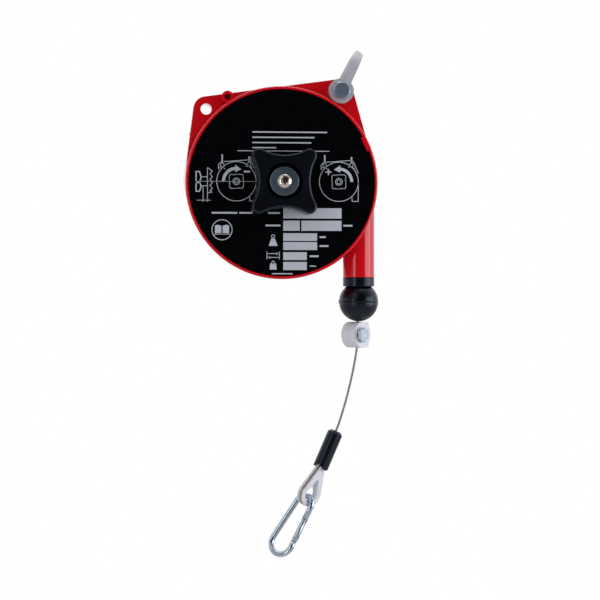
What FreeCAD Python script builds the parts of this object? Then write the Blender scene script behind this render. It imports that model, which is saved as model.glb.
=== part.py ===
"""A spring balancer that carries a hand tool on a wire rope.

Millimetres. The drum's axis runs along Y and the front of the housing looks towards -Y. Every piece is
built about the drum's axis, or about an axis of its own, and is then placed in the part's frame, whose
origin is the seat of the suspension shackle.
"""
import FreeCAD, Part
import math
import operator
import os
import Sketcher

# The driving dimensions, in millimetres and degrees.
SIZES = {
    # housing: two moulded shells that meet on the plane y = 0
    "housing_radius": 60.5,
    "housing_half_depth": 18.0,
    "shell_wall": 2.5,
    "face_wall": 3.0,
    "rim_round": 1.2,
    "rim_width": 1.9,
    "label_thickness": 0.4,
    "label_recess": 0.5,
    "label_hole_radius": 14.5,
    "notch_angle": 25.0,
    "notch_width": 9.2,
    "notch_depth": 4.2,
    # lugs and ear: each at an angle above +X, and so far outside the round shell
    "lug_half_thickness": 6.0,
    "lug_corner_radius": 8.0,
    "safety_lug_angle": 135.1,
    "safety_lug_offset": 5.7,
    "safety_hole_radius": 3.5,
    "shackle_lug_angle": 56.9,
    "shackle_lug_offset": 9.35,
    "ear_angle": 122.2,
    "ear_offset": 3.1,
    "ear_radius": 3.8,
    "ear_front": 14.5,
    "ear_recess_radius": 2.0,
    "ear_recess_depth": 8.5,
    # the tangential outlet
    "outlet_radius": 10.0,
    "outlet_rise": 1.5,
    "outlet_bore_radius": 3.4,
    "bush_spigot_radius": 7.6,
    "bush_spigot_length": 8.0,
    "bush_flange_height": 5.8,
    "bush_bore_radius": 1.3,
    # shell screws
    "screw_radius": 1.5,
    "screw_head_radius": 2.4,
    "screw_seat": 5.0,
    "web_screw_offset": 2.7,
    "outlet_screw_offset": 6.4,
    "outlet_screw_height": 13.0,
    "screw_head_height": 2.0,
    "screw_thread_depth": 4.5,
    # suspension shackle
    "shackle_lean": 26.3,
    "shackle_boss_radius": 7.9,
    "shackle_arm_root": 3.7,
    "shackle_tip_half_width": 2.8,
    "shackle_tip_round": 2.2,
    "shackle_tip_corner": 0.4,
    "shackle_tip_slope": 1.8,
    "shackle_thickness": 5.2,
    "shackle_side_gap": 0.4,
    "shackle_seat_reach": 23.8,
    "bolt_radius": 3.0,
    "bolt_head_flats": 10.0,
    "bolt_head_height": 4.2,
    "bolt_nut_height": 5.2,
    "bolt_end": 1.0,
    "bolt_chamfer": 1.0,
    "bolt_turn": 9.0,
    # arbor and knob
    "arbor_radius": 8.0,
    "arbor_half_length": 12.2,
    "journal_radius": 6.0,
    "rear_journal_radius": 5.0,
    "hub_boss_radius": 12.0,
    "hex_flats": 10.2,
    "crown_inner_radius": 7.2,
    "crown_outer_radius": 13.0,
    "crown_clearance": 0.5,
    "crown_base_height": 0.8,
    "tooth_height": 3.0,
    "tooth_count": 12,
    "tooth_side_gap": 1.5,
    "knob_height": 18.0,
    "knob_corner_reach": 15.7,
    "knob_corner_radius": 4.5,
    "knob_waist": 16.3,
    "knob_edge_round": 1.6,
    "knob_web": 2.5,
    "knob_recess_radius": 11.4,
    "knob_gap": 0.3,
    "washer_radius": 9.0,
    "washer_thickness": 1.5,
    "washer_sink": 1.0,
    "centre_screw_radius": 2.4,
    "centre_screw_head_radius": 4.5,
    "centre_screw_head_height": 2.6,
    "centre_screw_chamfer": 1.2,
    "centre_screw_length": 12.0,
    "coil_mean_radius": 7.5,
    "coil_wire_radius": 0.45,
    "coil_turns": 3.5,
    # drum and power spring
    "drum_half_width": 11.5,
    "drum_web": 2.7,
    "drum_flange_gap": 3.5,
    "drum_rim_wall": 4.5,
    "drum_screw_head_height": 1.5,
    "bush_wall": 1.5,
    "wound_half_width": 6.5,
    "anchor_radius": 1.6,
    "ribbon_thickness": 0.6,
    "ribbon_half_width": 7.6,
    "ribbon_turns": 9,
    "arbor_slot_width": 1.4,
    "arbor_slot_depth": 3.0,
    # rope, buffer and stop clamp
    "rope_radius": 0.8,
    "rope_play": 0.3,
    "ball_radius": 12.5,
    "ball_sink": 2.8,
    "clamp_height": 16.4,
    "clamp_thickness": 11.0,
    "clamp_turn": 45.0,
    "clamp_flat_reach": 4.7,
    "clamp_round_reach": 9.5,
    "clamp_screw_offset": 3.9,
    "clamp_split": 0.1,
    "clamp_screw_radius": 2.5,
    "clamp_head_radius": 4.2,
    "clamp_head_height": 2.5,
    "clamp_nut_flats": 8.0,
    "clamp_nut_height": 4.0,
    "clamp_nut_flange_radius": 4.8,
    "clamp_nut_flange_height": 1.0,
    # end fitting
    "sleeve_radius": 4.9,
    "sleeve_bore_radius": 3.5,
    "sleeve_length": 26.5,
    "sleeve_mouth_depth": 4.5,
    "sleeve_shoulder": 1.6,
    "sleeve_lip": 0.8,
    "ferrule_radius": 3.1,
    "ferrule_length": 12.0,
    "ferrule_depth": 3.3,
    "thimble_turn": 40.0,
    "thimble_radius": 7.9,
    "thimble_length": 27.6,
    "thimble_apex_radius": 1.9,
    "thimble_core_apex_radius": 0.8,
    "thimble_thickness": 5.0,
    "thimble_groove_depth": 1.45,
    "thimble_groove_width": 1.9,
    "thimble_eye_radius": 4.5,
    "thimble_eye_apex_radius": 1.3,
    "thimble_eye_length": 14.5,
    "thimble_depth": 23.6,
    "thimble_eye_chamfer": 0.9,
    "rope_leg_spread": 0.95,
    "rope_leg_bend": 7.5,
    "hook_seat_gap": 0.9,
    # snap hook
    "hook_lean": 30.0,
    "hook_turn": -38.0,
    "hook_wire_radius": 1.9,
    "hook_length": 45.0,
    "hook_top_radius": 5.6,
    "hook_bottom_radius": 7.6,
    "gate_top": 13.5,
    "gate_pivot": 27.0,
    "gate_tail": 2.4,
    "gate_tail_angle": 30.0,
    "tongue_thickness": 1.3,
    "tongue_gap": 0.25,
    "rivet_radius": 0.8,
    "gate_spring_radius": 0.45,
    "gate_spring_length": 2.8,
    "tongue_half_width": 1.5,
    # fits
    "running_fit": 0.05,
    "seat_gap": 0.3,
    "slip_fit": 0.1,
}

# The free rope's route by hand, from the stop clamp to the ferrule, as (x, z) from where the rope enters
# the buffer.
ROPE_ROUTE = [
    (-1.1, -42.7), (-2.0, -49.0), (-3.9, -58.8), (-6.75, -71.1), (-10.0, -82.6), (-13.05, -92.2),
    (-15.78, -98.53),
]

os.makedirs("parts", exist_ok=True)
document = FreeCAD.newDocument("SpringBalancer")
sheet = document.addObject("Spreadsheet::Sheet", "Sizes")
for row, (alias, number) in enumerate(SIZES.items(), start=1):
    sheet.set(f"A{row}", alias)
    sheet.set(f"B{row}", str(number))
    sheet.setAlias(f"B{row}", alias)
document.recompute()


# ---------------------------------------------------------------- sizes that keep their formula
class Size:
    """A number together with the sheet formula that gives it."""

    SIGNS = {"+": operator.add, "-": operator.sub, "*": operator.mul, "/": operator.truediv}

    def __init__(self, number, formula):
        self.number = number
        self.formula = formula

    @staticmethod
    def of(thing):
        return thing if isinstance(thing, Size) else Size(thing, repr(thing))

    @staticmethod
    def join(left, sign, right):
        left, right = Size.of(left), Size.of(right)
        number = Size.SIGNS[sign](left.number, right.number)
        return Size(number, f"({left.formula} {sign} {right.formula})")

    def __add__(self, other):
        return Size.join(self, "+", other)

    def __radd__(self, other):
        return Size.join(other, "+", self)

    def __sub__(self, other):
        return Size.join(self, "-", other)

    def __rsub__(self, other):
        return Size.join(other, "-", self)

    def __mul__(self, other):
        return Size.join(self, "*", other)

    def __rmul__(self, other):
        return Size.join(other, "*", self)

    def __truediv__(self, other):
        return Size.join(self, "/", other)

    def __neg__(self):
        return Size.join(0, "-", self)


class SheetSizes:
    """The sheet's cells as attributes, each a Size."""

    def __getattr__(self, alias):
        return Size(float(sheet.get(alias)), f"Sizes.{alias}")


def sine(angle):
    angle = Size.of(angle)
    return Size(math.sin(math.radians(angle.number)), f"sin({angle.formula})")


def cosine(angle):
    angle = Size.of(angle)
    return Size(math.cos(math.radians(angle.number)), f"cos({angle.formula})")


def root(square):
    square = Size.of(square)
    return Size(math.sqrt(square.number), f"sqrt({square.formula})")


def polar(reach, angle):
    """The (x, z) at a reach from the drum's axis and an angle above +X."""
    return reach * cosine(angle), reach * sine(angle)


S = SheetSizes()
X, Y, Z = FreeCAD.Vector(1, 0, 0), FreeCAD.Vector(0, 1, 0), FreeCAD.Vector(0, 0, 1)
UPRIGHT = FreeCAD.Rotation()
ALONG_Y = FreeCAD.Rotation(X, -90)
ALONG_X = FreeCAD.Rotation(Y, 90)

# How far a cutting tool, or the root of a tongue, runs past the face it starts from.
OVERRUN = 1.0
# The share of the shorter run beside a turn of the rope that the turn's arc takes up.
TRIM_SHARE = 0.45

# Places that several pieces share, from the drum's axis.
FRONT = -S.housing_half_depth
LABEL_RADIUS = S.housing_radius - S.rim_width
LABEL_SEAT = FRONT + S.label_recess
CAVITY_RADIUS = S.housing_radius - S.shell_wall
CAVITY_HALF = S.housing_half_depth - S.face_wall
CROWN_BASE = LABEL_SEAT - S.crown_base_height
KNOB_BACK = CROWN_BASE - S.knob_gap
KNOB_WEB_BACK = KNOB_BACK - S.tooth_height
KNOB_WEB_FRONT = KNOB_WEB_BACK - S.knob_web
KNOB_FRONT = KNOB_BACK - S.knob_height
WASHER_FRONT = KNOB_FRONT + S.washer_sink
WASHER_BACK = WASHER_FRONT + S.washer_thickness
ROPE_X = S.housing_radius - S.outlet_radius
OUTLET_END = S.outlet_rise - S.housing_radius
BUSH_END = OUTLET_END - S.bush_flange_height
BALL_Z = BUSH_END + S.ball_sink - S.ball_radius
ROPE_TOP_Z = BALL_Z + S.ball_radius + S.rope_radius
DRUM_RADIUS = ROPE_X - S.rope_radius
SAFETY_LUG = polar(S.housing_radius + S.safety_lug_offset, S.safety_lug_angle)
SHACKLE_LUG = polar(S.housing_radius + S.shackle_lug_offset, S.shackle_lug_angle)
SHACKLE_INNER = S.lug_half_thickness + S.shackle_side_gap
SHACKLE_OUTER = SHACKLE_INNER + S.shackle_thickness
SHACKLE_BOW = S.shackle_seat_reach - SHACKLE_INNER
ORIGIN_X = SHACKLE_LUG[0] + S.shackle_seat_reach * sine(S.shackle_lean)
ORIGIN_Z = SHACKLE_LUG[1] + S.shackle_seat_reach * cosine(S.shackle_lean)
CLAMP_TOP = BALL_Z - S.ball_radius - S.seat_gap
CLAMP_END = CLAMP_TOP - S.clamp_height


# ---------------------------------------------------------------- building blocks
def bind(thing, **properties):
    """Tie properties of a document object to the sheet."""
    for name, size in properties.items():
        thing.setExpression(name, Size.of(size).formula)
    return thing


def move(thing, x=0, y=0, z=0, turn=UPRIGHT):
    """Place an object by sheet formulas, with a fixed turn."""
    thing.Placement = FreeCAD.Placement(FreeCAD.Vector(), turn)
    for axis, size in zip("xyz", (x, y, z)):
        thing.setExpression(f"Placement.Base.{axis}", Size.of(size).formula)
    return thing


def cylinder(name, radius, height, x=0, y=0, z=0, turn=UPRIGHT, angle=360):
    thing = document.addObject("Part::Cylinder", name)
    thing.Angle = angle
    return move(bind(thing, Radius=radius, Height=height), x, y, z, turn)


def rod(name, radius, back, front, x=0, z=0):
    """A cylinder along Y, between two depths with back > front."""
    return cylinder(name, radius, back - front, x, front, z, ALONG_Y)


def box(name, low, high, turn=UPRIGHT):
    """A block between two corners; with a turn, the low corner is where the turned block starts."""
    thing = document.addObject("Part::Box", name)
    sides = [top - bottom for bottom, top in zip(low, high)]
    bind(thing, Length=sides[0], Width=sides[1], Height=sides[2])
    return move(thing, *low, turn)


def hexagon(name, flats, back, front, x=0, z=0, turn=ALONG_Y):
    """A hexagonal bar along Y."""
    thing = document.addObject("Part::Prism", name)
    thing.Polygon = 6
    bind(thing, Circumradius=flats / 2 / cosine(30), Height=back - front)
    return move(thing, x, front, z, turn)


def fuse(name, pieces):
    thing = document.addObject("Part::MultiFuse", name)
    thing.Shapes = pieces
    thing.Refine = True
    return thing


def cut(name, base, tools):
    tool = tools[0] if len(tools) == 1 else fuse(f"{name}_tools", tools)
    thing = document.addObject("Part::Cut", name)
    thing.Base, thing.Tool = base, tool
    thing.Refine = True
    return thing


def common(name, pieces):
    thing = document.addObject("Part::MultiCommon", name)
    thing.Shapes = pieces
    return thing


def group(name, pieces):
    """Separate solids that share one sub-part."""
    thing = document.addObject("Part::Compound", name)
    thing.Links = pieces
    return thing


def plane_sketch(body, name, role):
    sketch = body.newObject("Sketcher::SketchObject", name)
    plane = [item for item in body.Origin.OriginFeatures if item.Role == role][0]
    sketch.AttachmentSupport = [(plane, "")]
    sketch.MapMode = "FlatFace"
    return sketch


def pin_point(sketch, element, end, place):
    """Fix a point of a sketch element by its two sheet formulas."""
    for kind, size in zip(("DistanceX", "DistanceY"), place):
        index = sketch.addConstraint(Sketcher.Constraint(kind, -1, 1, element, end, Size.of(size).number))
        sketch.setExpression(f"Constraints[{index}]", Size.of(size).formula)


def polygon(sketch, corners):
    """A closed outline of straight lines through the given corners."""
    vectors = [FreeCAD.Vector(*(Size.of(size).number for size in corner), 0) for corner in corners]
    for start, end in zip(vectors, vectors[1:] + vectors[:1]):
        sketch.addGeometry(Part.LineSegment(start, end), False)
    for index, corner in enumerate(corners):
        after = (index + 1) % len(corners)
        sketch.addConstraint(Sketcher.Constraint("Coincident", index, 2, after, 1))
        pin_point(sketch, index, 1, corner)


def belt(sketch, circles):
    """A closed outline laid tight round circles (x, y, radius), given counter-clockwise."""
    numbers = [[Size.of(size).number for size in circle] for circle in circles]
    normals = []
    for (x, y, radius), (next_x, next_y, next_radius) in zip(numbers, numbers[1:] + numbers[:1]):
        reach = math.hypot(next_x - x, next_y - y)
        heading = math.atan2(next_y - y, next_x - x)
        normals.append(heading - math.acos((radius - next_radius) / reach))
    count = len(circles)
    for index, (x, y, radius) in enumerate(numbers):
        ring = Part.Circle(FreeCAD.Vector(x, y, 0), Z, radius)
        sketch.addGeometry(Part.ArcOfCircle(ring, normals[index - 1], normals[index]), False)
    for index, normal in enumerate(normals):
        ends = []
        for x, y, radius in (numbers[index], numbers[(index + 1) % count]):
            ends.append(FreeCAD.Vector(x + radius * math.cos(normal), y + radius * math.sin(normal), 0))
        sketch.addGeometry(Part.LineSegment(*ends), False)
    for index, (x, y, radius) in enumerate(circles):
        line_in, line_out = count + (index - 1) % count, count + index
        sketch.addConstraint(Sketcher.Constraint("Tangent", line_in, 2, index, 1))
        sketch.addConstraint(Sketcher.Constraint("Tangent", index, 2, line_out, 1))
        pin_point(sketch, index, 3, (x, y))
        length = sketch.addConstraint(Sketcher.Constraint("Radius", index, Size.of(radius).number))
        sketch.setExpression(f"Constraints[{length}]", Size.of(radius).formula)


def turned(name, profile, axis="Y"):
    """A body turned about Y or Z from corners (radius, place along the axis)."""
    body = document.addObject("PartDesign::Body", name)
    sketch = plane_sketch(body, f"{name}_profile", "XY_Plane" if axis == "Y" else "XZ_Plane")
    polygon(sketch, profile)
    turn = body.newObject("PartDesign::Revolution", f"{name}_turn")
    turn.Profile = sketch
    turn.ReferenceAxis = (sketch, ["V_Axis"])
    turn.Angle = 360
    sketch.Visibility = False
    document.recompute()
    return body


def plate(name, outline, shape, back, front):
    """A body of a flat outline in X and Z, between two depths with back > front."""
    body = document.addObject("PartDesign::Body", name)
    sketch = plane_sketch(body, f"{name}_outline", "XZ_Plane")
    outline(sketch, shape)
    sketch.setExpression("AttachmentOffset.Base.z", (-Size.of(back)).formula)
    pad = body.newObject("PartDesign::Pad", f"{name}_pad")
    pad.Profile = sketch
    bind(pad, Length=back - front)
    document.recompute()
    return body


def round_edges(body, name, radius, wanted):
    """A fillet on the edges of a body's tip that the test picks."""
    tip = body.Tip
    names = [f"Edge{i}" for i, edge in enumerate(tip.Shape.Edges, start=1) if wanted(edge)]
    fillet = body.newObject("PartDesign::Fillet", name)
    fillet.Base = (tip, names)
    bind(fillet, Radius=radius)
    document.recompute()
    return body


def is_ring(radius, y):
    """A test for a circular edge about Y of a radius at a depth."""
    radius, y = Size.of(radius).number, Size.of(y).number

    def test(edge):
        circle = edge.Curve
        return isinstance(circle, Part.Circle) and math.isclose(circle.Radius, radius, abs_tol=1e-4) \
            and math.isclose(circle.Center.y, y, abs_tol=1e-4)
    return test


def shaped(name, shape):
    """A piece whose shape no feature gives, from Part's own functions."""
    thing = document.addObject("Part::Feature", name)
    thing.Shape = shape
    return thing


def swept(name, path, radius):
    """A round wire of a radius along a path."""
    spine = shaped(f"{name}_path", path)
    start = path.OrderedEdges[0]
    first = start.FirstParameter
    place = start.valueAt(first)
    ahead = start.tangentAt(first)
    section = document.addObject("Part::Circle", f"{name}_section")
    section.Placement = FreeCAD.Placement(place, FreeCAD.Rotation(Z, ahead))
    bind(section, Radius=radius)
    sweep = document.addObject("Part::Sweep", name)
    sweep.Sections = [section]
    sweep.Spine = (spine, [f"Edge{i}" for i in range(1, len(path.Edges) + 1)])
    sweep.Solid = True
    sweep.Frenet = False
    document.recompute()
    return sweep


PIECES = []


def piece(thing, label, x=0, y=0, z=0, turn=UPRIGHT):
    """Name a finished sub-part and place it in the part's frame."""
    move(thing, x - ORIGIN_X, y, z - ORIGIN_Z, turn)
    thing.Label = label
    PIECES.append(thing)
    return thing


# ---------------------------------------------------------------- housing
BORE_RADIUS = S.journal_radius + S.running_fit
HUB_FACE = S.arbor_half_length + S.seat_gap
EAR = polar(S.housing_radius + S.ear_offset, S.ear_angle)
WEB_SCREW_ANGLES = (40.0, 150.0)


def lug_plate(name, back, front):
    """The web that joins the round shell to its two lugs."""
    circles = [
        (0, 0, S.housing_radius),
        (*SHACKLE_LUG, S.lug_corner_radius),
        (*SAFETY_LUG, S.lug_corner_radius),
    ]
    return plate(name, belt, circles, back, front)


def radial_box(name, angle, inner, outer, half_width, back, front):
    """A block along a radius of the drum's axis, at an angle above +X."""
    x = inner * cosine(angle) + half_width * sine(angle)
    z = inner * sine(angle) - half_width * cosine(angle)
    thing = document.addObject("Part::Box", name)
    bind(thing, Length=outer - inner, Width=back - front, Height=2 * half_width)
    return move(thing, x, front, z, FreeCAD.Rotation(Y, -Size.of(angle).number))


def outlet_half(name, turn):
    """Half of the round outlet that points down from the shell's side."""
    return cylinder(name, S.outlet_radius, -OUTLET_END, ROPE_X, 0, OUTLET_END, FreeCAD.Rotation(Z, turn), 180)


def outlet_bore(name):
    bore = cylinder(f"{name}_bore", S.outlet_bore_radius, -OUTLET_END, ROPE_X, 0, OUTLET_END)
    socket = cylinder(f"{name}_socket", S.bush_spigot_radius + S.slip_fit, S.bush_spigot_length + S.seat_gap,
                      ROPE_X, 0, OUTLET_END)
    return [bore, socket]


def screw_places():
    """The shell screws, as (x, z): at the ear, in the two webs and beside the outlet's bore."""
    places = [EAR]
    for angle in WEB_SCREW_ANGLES:
        places.append(polar(S.housing_radius + S.web_screw_offset, angle))
    for side in (-1, 1):
        places.append((ROPE_X + side * S.outlet_screw_offset, OUTLET_END + S.outlet_screw_height))
    return places


def lug_holes(name, back, front):
    bolt = rod(f"{name}_bolt_hole", S.bolt_radius + S.running_fit, back, front, *SHACKLE_LUG)
    safety = rod(f"{name}_safety_hole", S.safety_hole_radius, back, front, *SAFETY_LUG)
    return [bolt, safety]


def tooth_point(radius, angle, y):
    turn = math.radians(angle)
    return FreeCAD.Vector(radius * math.sin(turn), y, radius * math.cos(turn))


def saw_teeth(name, base, tip, root_depth, steep_first):
    """A ring of saw teeth about Y: each has one steep side and one long ramp."""
    inner, outer = S.crown_inner_radius.number, S.crown_outer_radius.number
    base, tip, sunk = base.number, tip.number, root_depth.number
    count = int(S.tooth_count.number)
    pitch = 360 / count
    teeth = []
    for index in range(count):
        start = index * pitch
        end = start + pitch - S.tooth_side_gap.number
        heights = (tip, base) if steep_first else (base, tip)
        rims = []
        for radius in (inner, outer):
            corners = [tooth_point(radius, start, sunk), tooth_point(radius, start, heights[0]),
                       tooth_point(radius, end, heights[1]), tooth_point(radius, end, sunk)]
            rims.append(Part.makePolygon(corners + corners[:1]))
        teeth.append(Part.makeLoft(rims, True, True))
    return shaped(name, Part.makeCompound(teeth))


def make_front_cover():
    seat_radius = LABEL_RADIUS + S.slip_fit
    cup = turned("front_cup", [
        (BORE_RADIUS, -HUB_FACE), (S.hub_boss_radius, -HUB_FACE), (S.hub_boss_radius, -CAVITY_HALF),
        (CAVITY_RADIUS, -CAVITY_HALF), (CAVITY_RADIUS, 0), (S.housing_radius, 0), (S.housing_radius, FRONT),
        (seat_radius, FRONT), (seat_radius, LABEL_SEAT), (S.crown_outer_radius, LABEL_SEAT),
        (S.crown_outer_radius, CROWN_BASE), (BORE_RADIUS, CROWN_BASE),
    ])
    round_edges(cup, "front_rim_round", S.rim_round, is_ring(S.housing_radius, FRONT))
    ear = rod("ear", S.ear_radius, 0, -S.ear_front, *EAR)
    notch = radial_box("notch_pad", S.notch_angle, LABEL_RADIUS - S.notch_depth, LABEL_RADIUS + S.rim_round,
                       S.notch_width / 2, LABEL_SEAT, FRONT)
    outside = fuse("front_outside", [cup, lug_plate("front_lugs", 0, -S.lug_half_thickness),
                                     outlet_half("front_outlet", 180), ear, notch])
    hollows = [rod("front_cavity", CAVITY_RADIUS, 0, -HUB_FACE), *outlet_bore("front_outlet")]
    hollows += lug_holes("front", 0, -S.lug_half_thickness)
    for number, (x, z) in enumerate(screw_places()):
        hollows.append(rod(f"front_pilot_{number}", S.screw_radius + S.running_fit, 0,
                           -S.screw_thread_depth - S.seat_gap, x, z))
    hollows.append(rod("ear_recess", S.ear_recess_radius, S.ear_recess_depth - S.ear_front, -S.ear_front,
                       *EAR))
    shell = cut("front_shell", outside, hollows)
    teeth = saw_teeth("crown_teeth", CROWN_BASE, CROWN_BASE - S.tooth_height, LABEL_SEAT, True)
    return piece(fuse("front_cover_solid", [shell, teeth]), "front_cover")


def make_back_shell():
    blind = CAVITY_HALF + S.seat_gap
    bore = S.rear_journal_radius + S.running_fit
    cup = turned("back_cup", [
        (0, S.housing_half_depth), (S.housing_radius, S.housing_half_depth), (S.housing_radius, 0),
        (CAVITY_RADIUS, 0), (CAVITY_RADIUS, CAVITY_HALF), (S.hub_boss_radius, CAVITY_HALF),
        (S.hub_boss_radius, HUB_FACE), (bore, HUB_FACE), (bore, blind), (0, blind),
    ])
    round_edges(cup, "back_rim_round", S.rim_round, is_ring(S.housing_radius, S.housing_half_depth))
    outside = fuse("back_outside", [cup, lug_plate("back_lugs", S.lug_half_thickness, 0),
                                    outlet_half("back_outlet", 0)])
    hollows = [rod("back_cavity", CAVITY_RADIUS, HUB_FACE, 0), *outlet_bore("back_outlet")]
    hollows += lug_holes("back", S.lug_half_thickness, 0)
    for number, (x, z) in enumerate(screw_places()):
        hollows.append(rod(f"back_clearance_{number}", S.screw_radius + S.slip_fit, S.screw_seat, 0, x, z))
        hollows.append(rod(f"back_counterbore_{number}", S.screw_head_radius + S.slip_fit, S.outlet_radius,
                           S.screw_seat, x, z))
    return piece(cut("back_shell_solid", outside, hollows), "back_shell")


def make_front_label():
    disc = turned("label_disc", [
        (S.label_hole_radius, LABEL_SEAT), (LABEL_RADIUS, LABEL_SEAT),
        (LABEL_RADIUS, LABEL_SEAT - S.label_thickness), (S.label_hole_radius, LABEL_SEAT - S.label_thickness),
    ])
    notch = radial_box("label_notch", S.notch_angle, LABEL_RADIUS - S.notch_depth - S.slip_fit,
                       S.housing_radius, S.notch_width / 2 + S.slip_fit, LABEL_SEAT, FRONT)
    return piece(cut("front_label_solid", disc, [notch]), "front_label")


def make_assembly_screws():
    screws = []
    for number, (x, z) in enumerate(screw_places()):
        head = rod(f"screw_head_{number}", S.screw_head_radius, S.screw_seat + S.screw_head_height,
                   S.screw_seat, x, z)
        shank = rod(f"screw_shank_{number}", S.screw_radius, S.screw_seat, -S.screw_thread_depth, x, z)
        screws.append(fuse(f"screw_{number}", [head, shank]))
    return piece(group("assembly_screws_group", screws), "assembly_screws")


def make_outlet_bush():
    flange = S.outlet_radius
    body = turned("bush_body", [
        (S.bush_bore_radius, S.bush_spigot_length), (S.bush_spigot_radius, S.bush_spigot_length),
        (S.bush_spigot_radius, 0), (flange, 0), (flange, -S.bush_flange_height),
        (S.bush_bore_radius, -S.bush_flange_height),
    ], "Z")
    seat = document.addObject("Part::Sphere", "bush_seat")
    bind(seat, Radius=S.ball_radius + S.seat_gap)
    move(seat, 0, 0, BALL_Z - OUTLET_END)
    return piece(cut("outlet_bush_solid", body, [seat]), "outlet_bush", ROPE_X, 0, OUTLET_END)


# ---------------------------------------------------------------- suspension shackle
SHACKLE_TURN = FreeCAD.Rotation(Y, S.shackle_lean.number)
BOLT_TURN = FreeCAD.Rotation(Y, S.bolt_turn.number)
SHACKLE_TIP = SHACKLE_BOW + SHACKLE_OUTER


def shackle_u(name, half_width, low):
    """The U that the shackle is bent to, seen from its side."""
    reach = S.shackle_boss_radius
    block = box(f"{name}_legs", (-reach, -half_width, low), (reach, half_width, SHACKLE_BOW))
    bow = cylinder(f"{name}_bow", half_width, 2 * reach, -reach, 0, SHACKLE_BOW, ALONG_X)
    return fuse(name, [block, bow])


def make_shackle():
    boss = rod("shackle_boss", S.shackle_boss_radius, SHACKLE_OUTER, -SHACKLE_OUTER)
    tip, corner, bend = S.shackle_tip_half_width, S.shackle_tip_corner, S.shackle_tip_round
    strip = plate("shackle_strip", belt, [
        (0, 0, S.shackle_arm_root),
        (tip - corner, SHACKLE_TIP - S.shackle_tip_slope - corner, corner),
        (bend - tip, SHACKLE_TIP - bend, bend),
    ], SHACKLE_OUTER, -SHACKLE_OUTER)
    blank = common("shackle_blank", [
        fuse("shackle_front_view", [boss, strip]),
        shackle_u("shackle_outer", SHACKLE_OUTER, -S.shackle_boss_radius),
    ])
    hole = rod("shackle_hole", S.bolt_radius + S.running_fit, SHACKLE_OUTER, -SHACKLE_OUTER)
    inner = shackle_u("shackle_inner", SHACKLE_INNER, -S.shackle_boss_radius - OVERRUN)
    solid = cut("shackle_solid", blank, [inner, hole])
    return piece(solid, "shackle", SHACKLE_LUG[0], 0, SHACKLE_LUG[1], SHACKLE_TURN)


def make_shackle_bolt():
    back = SHACKLE_OUTER + S.bolt_nut_height + S.bolt_end
    shank = rod("bolt_shank", S.bolt_radius, back, -SHACKLE_OUTER)
    corner = S.bolt_head_flats / 2 / cosine(30)
    front = -SHACKLE_OUTER - S.bolt_head_height
    head = common("bolt_head", [
        hexagon("bolt_hex", S.bolt_head_flats, -SHACKLE_OUTER, front),
        turned("bolt_dome", [
            (0, -SHACKLE_OUTER), (corner, -SHACKLE_OUTER), (corner, front + S.bolt_chamfer),
            (corner - S.bolt_chamfer, front), (0, front),
        ]),
    ])
    return piece(fuse("shackle_bolt_solid", [shank, head]), "shackle_bolt", SHACKLE_LUG[0], 0, SHACKLE_LUG[1],
                 BOLT_TURN)


def make_shackle_nut():
    back = SHACKLE_OUTER + S.bolt_nut_height
    solid = cut("shackle_nut_solid", hexagon("nut_hex", S.bolt_head_flats, back, SHACKLE_OUTER),
                [rod("nut_thread", S.bolt_radius + S.running_fit, back, SHACKLE_OUTER)])
    return piece(solid, "shackle_nut", SHACKLE_LUG[0], 0, SHACKLE_LUG[1], BOLT_TURN)


# ---------------------------------------------------------------- arbor and knob
def make_arbor():
    shaft = turned("arbor_shaft", [
        (0, CAVITY_HALF), (S.rear_journal_radius, CAVITY_HALF), (S.rear_journal_radius, S.arbor_half_length),
        (S.arbor_radius, S.arbor_half_length), (S.arbor_radius, -S.arbor_half_length),
        (S.journal_radius, -S.arbor_half_length), (S.journal_radius, CROWN_BASE), (0, CROWN_BASE),
    ])
    solid = fuse("arbor_blank", [shaft, hexagon("arbor_hex", S.hex_flats, CROWN_BASE, WASHER_BACK)])
    thread = rod("arbor_thread", S.centre_screw_radius + S.slip_fit,
                 WASHER_BACK + S.centre_screw_length + S.seat_gap, WASHER_BACK)
    half = S.ribbon_half_width + S.seat_gap
    slot = box("arbor_slot", (S.arbor_radius - S.arbor_slot_depth, -half, -S.arbor_slot_width / 2),
               (S.arbor_radius + OVERRUN, half, S.arbor_slot_width / 2))
    return piece(cut("arbor_solid", solid, [thread, slot]), "arbor")


def make_retaining_washer():
    disc = turned("washer_disc", [
        (S.centre_screw_radius + S.slip_fit, WASHER_BACK), (S.washer_radius, WASHER_BACK),
        (S.washer_radius, WASHER_FRONT), (S.centre_screw_radius + S.slip_fit, WASHER_FRONT),
    ])
    return piece(disc, "retaining_washer")


def make_centre_screw():
    top, end = WASHER_FRONT - S.centre_screw_head_height, WASHER_BACK + S.centre_screw_length
    solid = turned("centre_screw_solid", [
        (0, end), (S.centre_screw_radius, end),
        (S.centre_screw_radius, WASHER_FRONT), (S.centre_screw_head_radius, WASHER_FRONT),
        (S.centre_screw_head_radius, top + S.centre_screw_chamfer),
        (S.centre_screw_head_radius - S.centre_screw_chamfer, top), (0, top),
    ])
    return piece(solid, "centre_screw")


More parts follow.
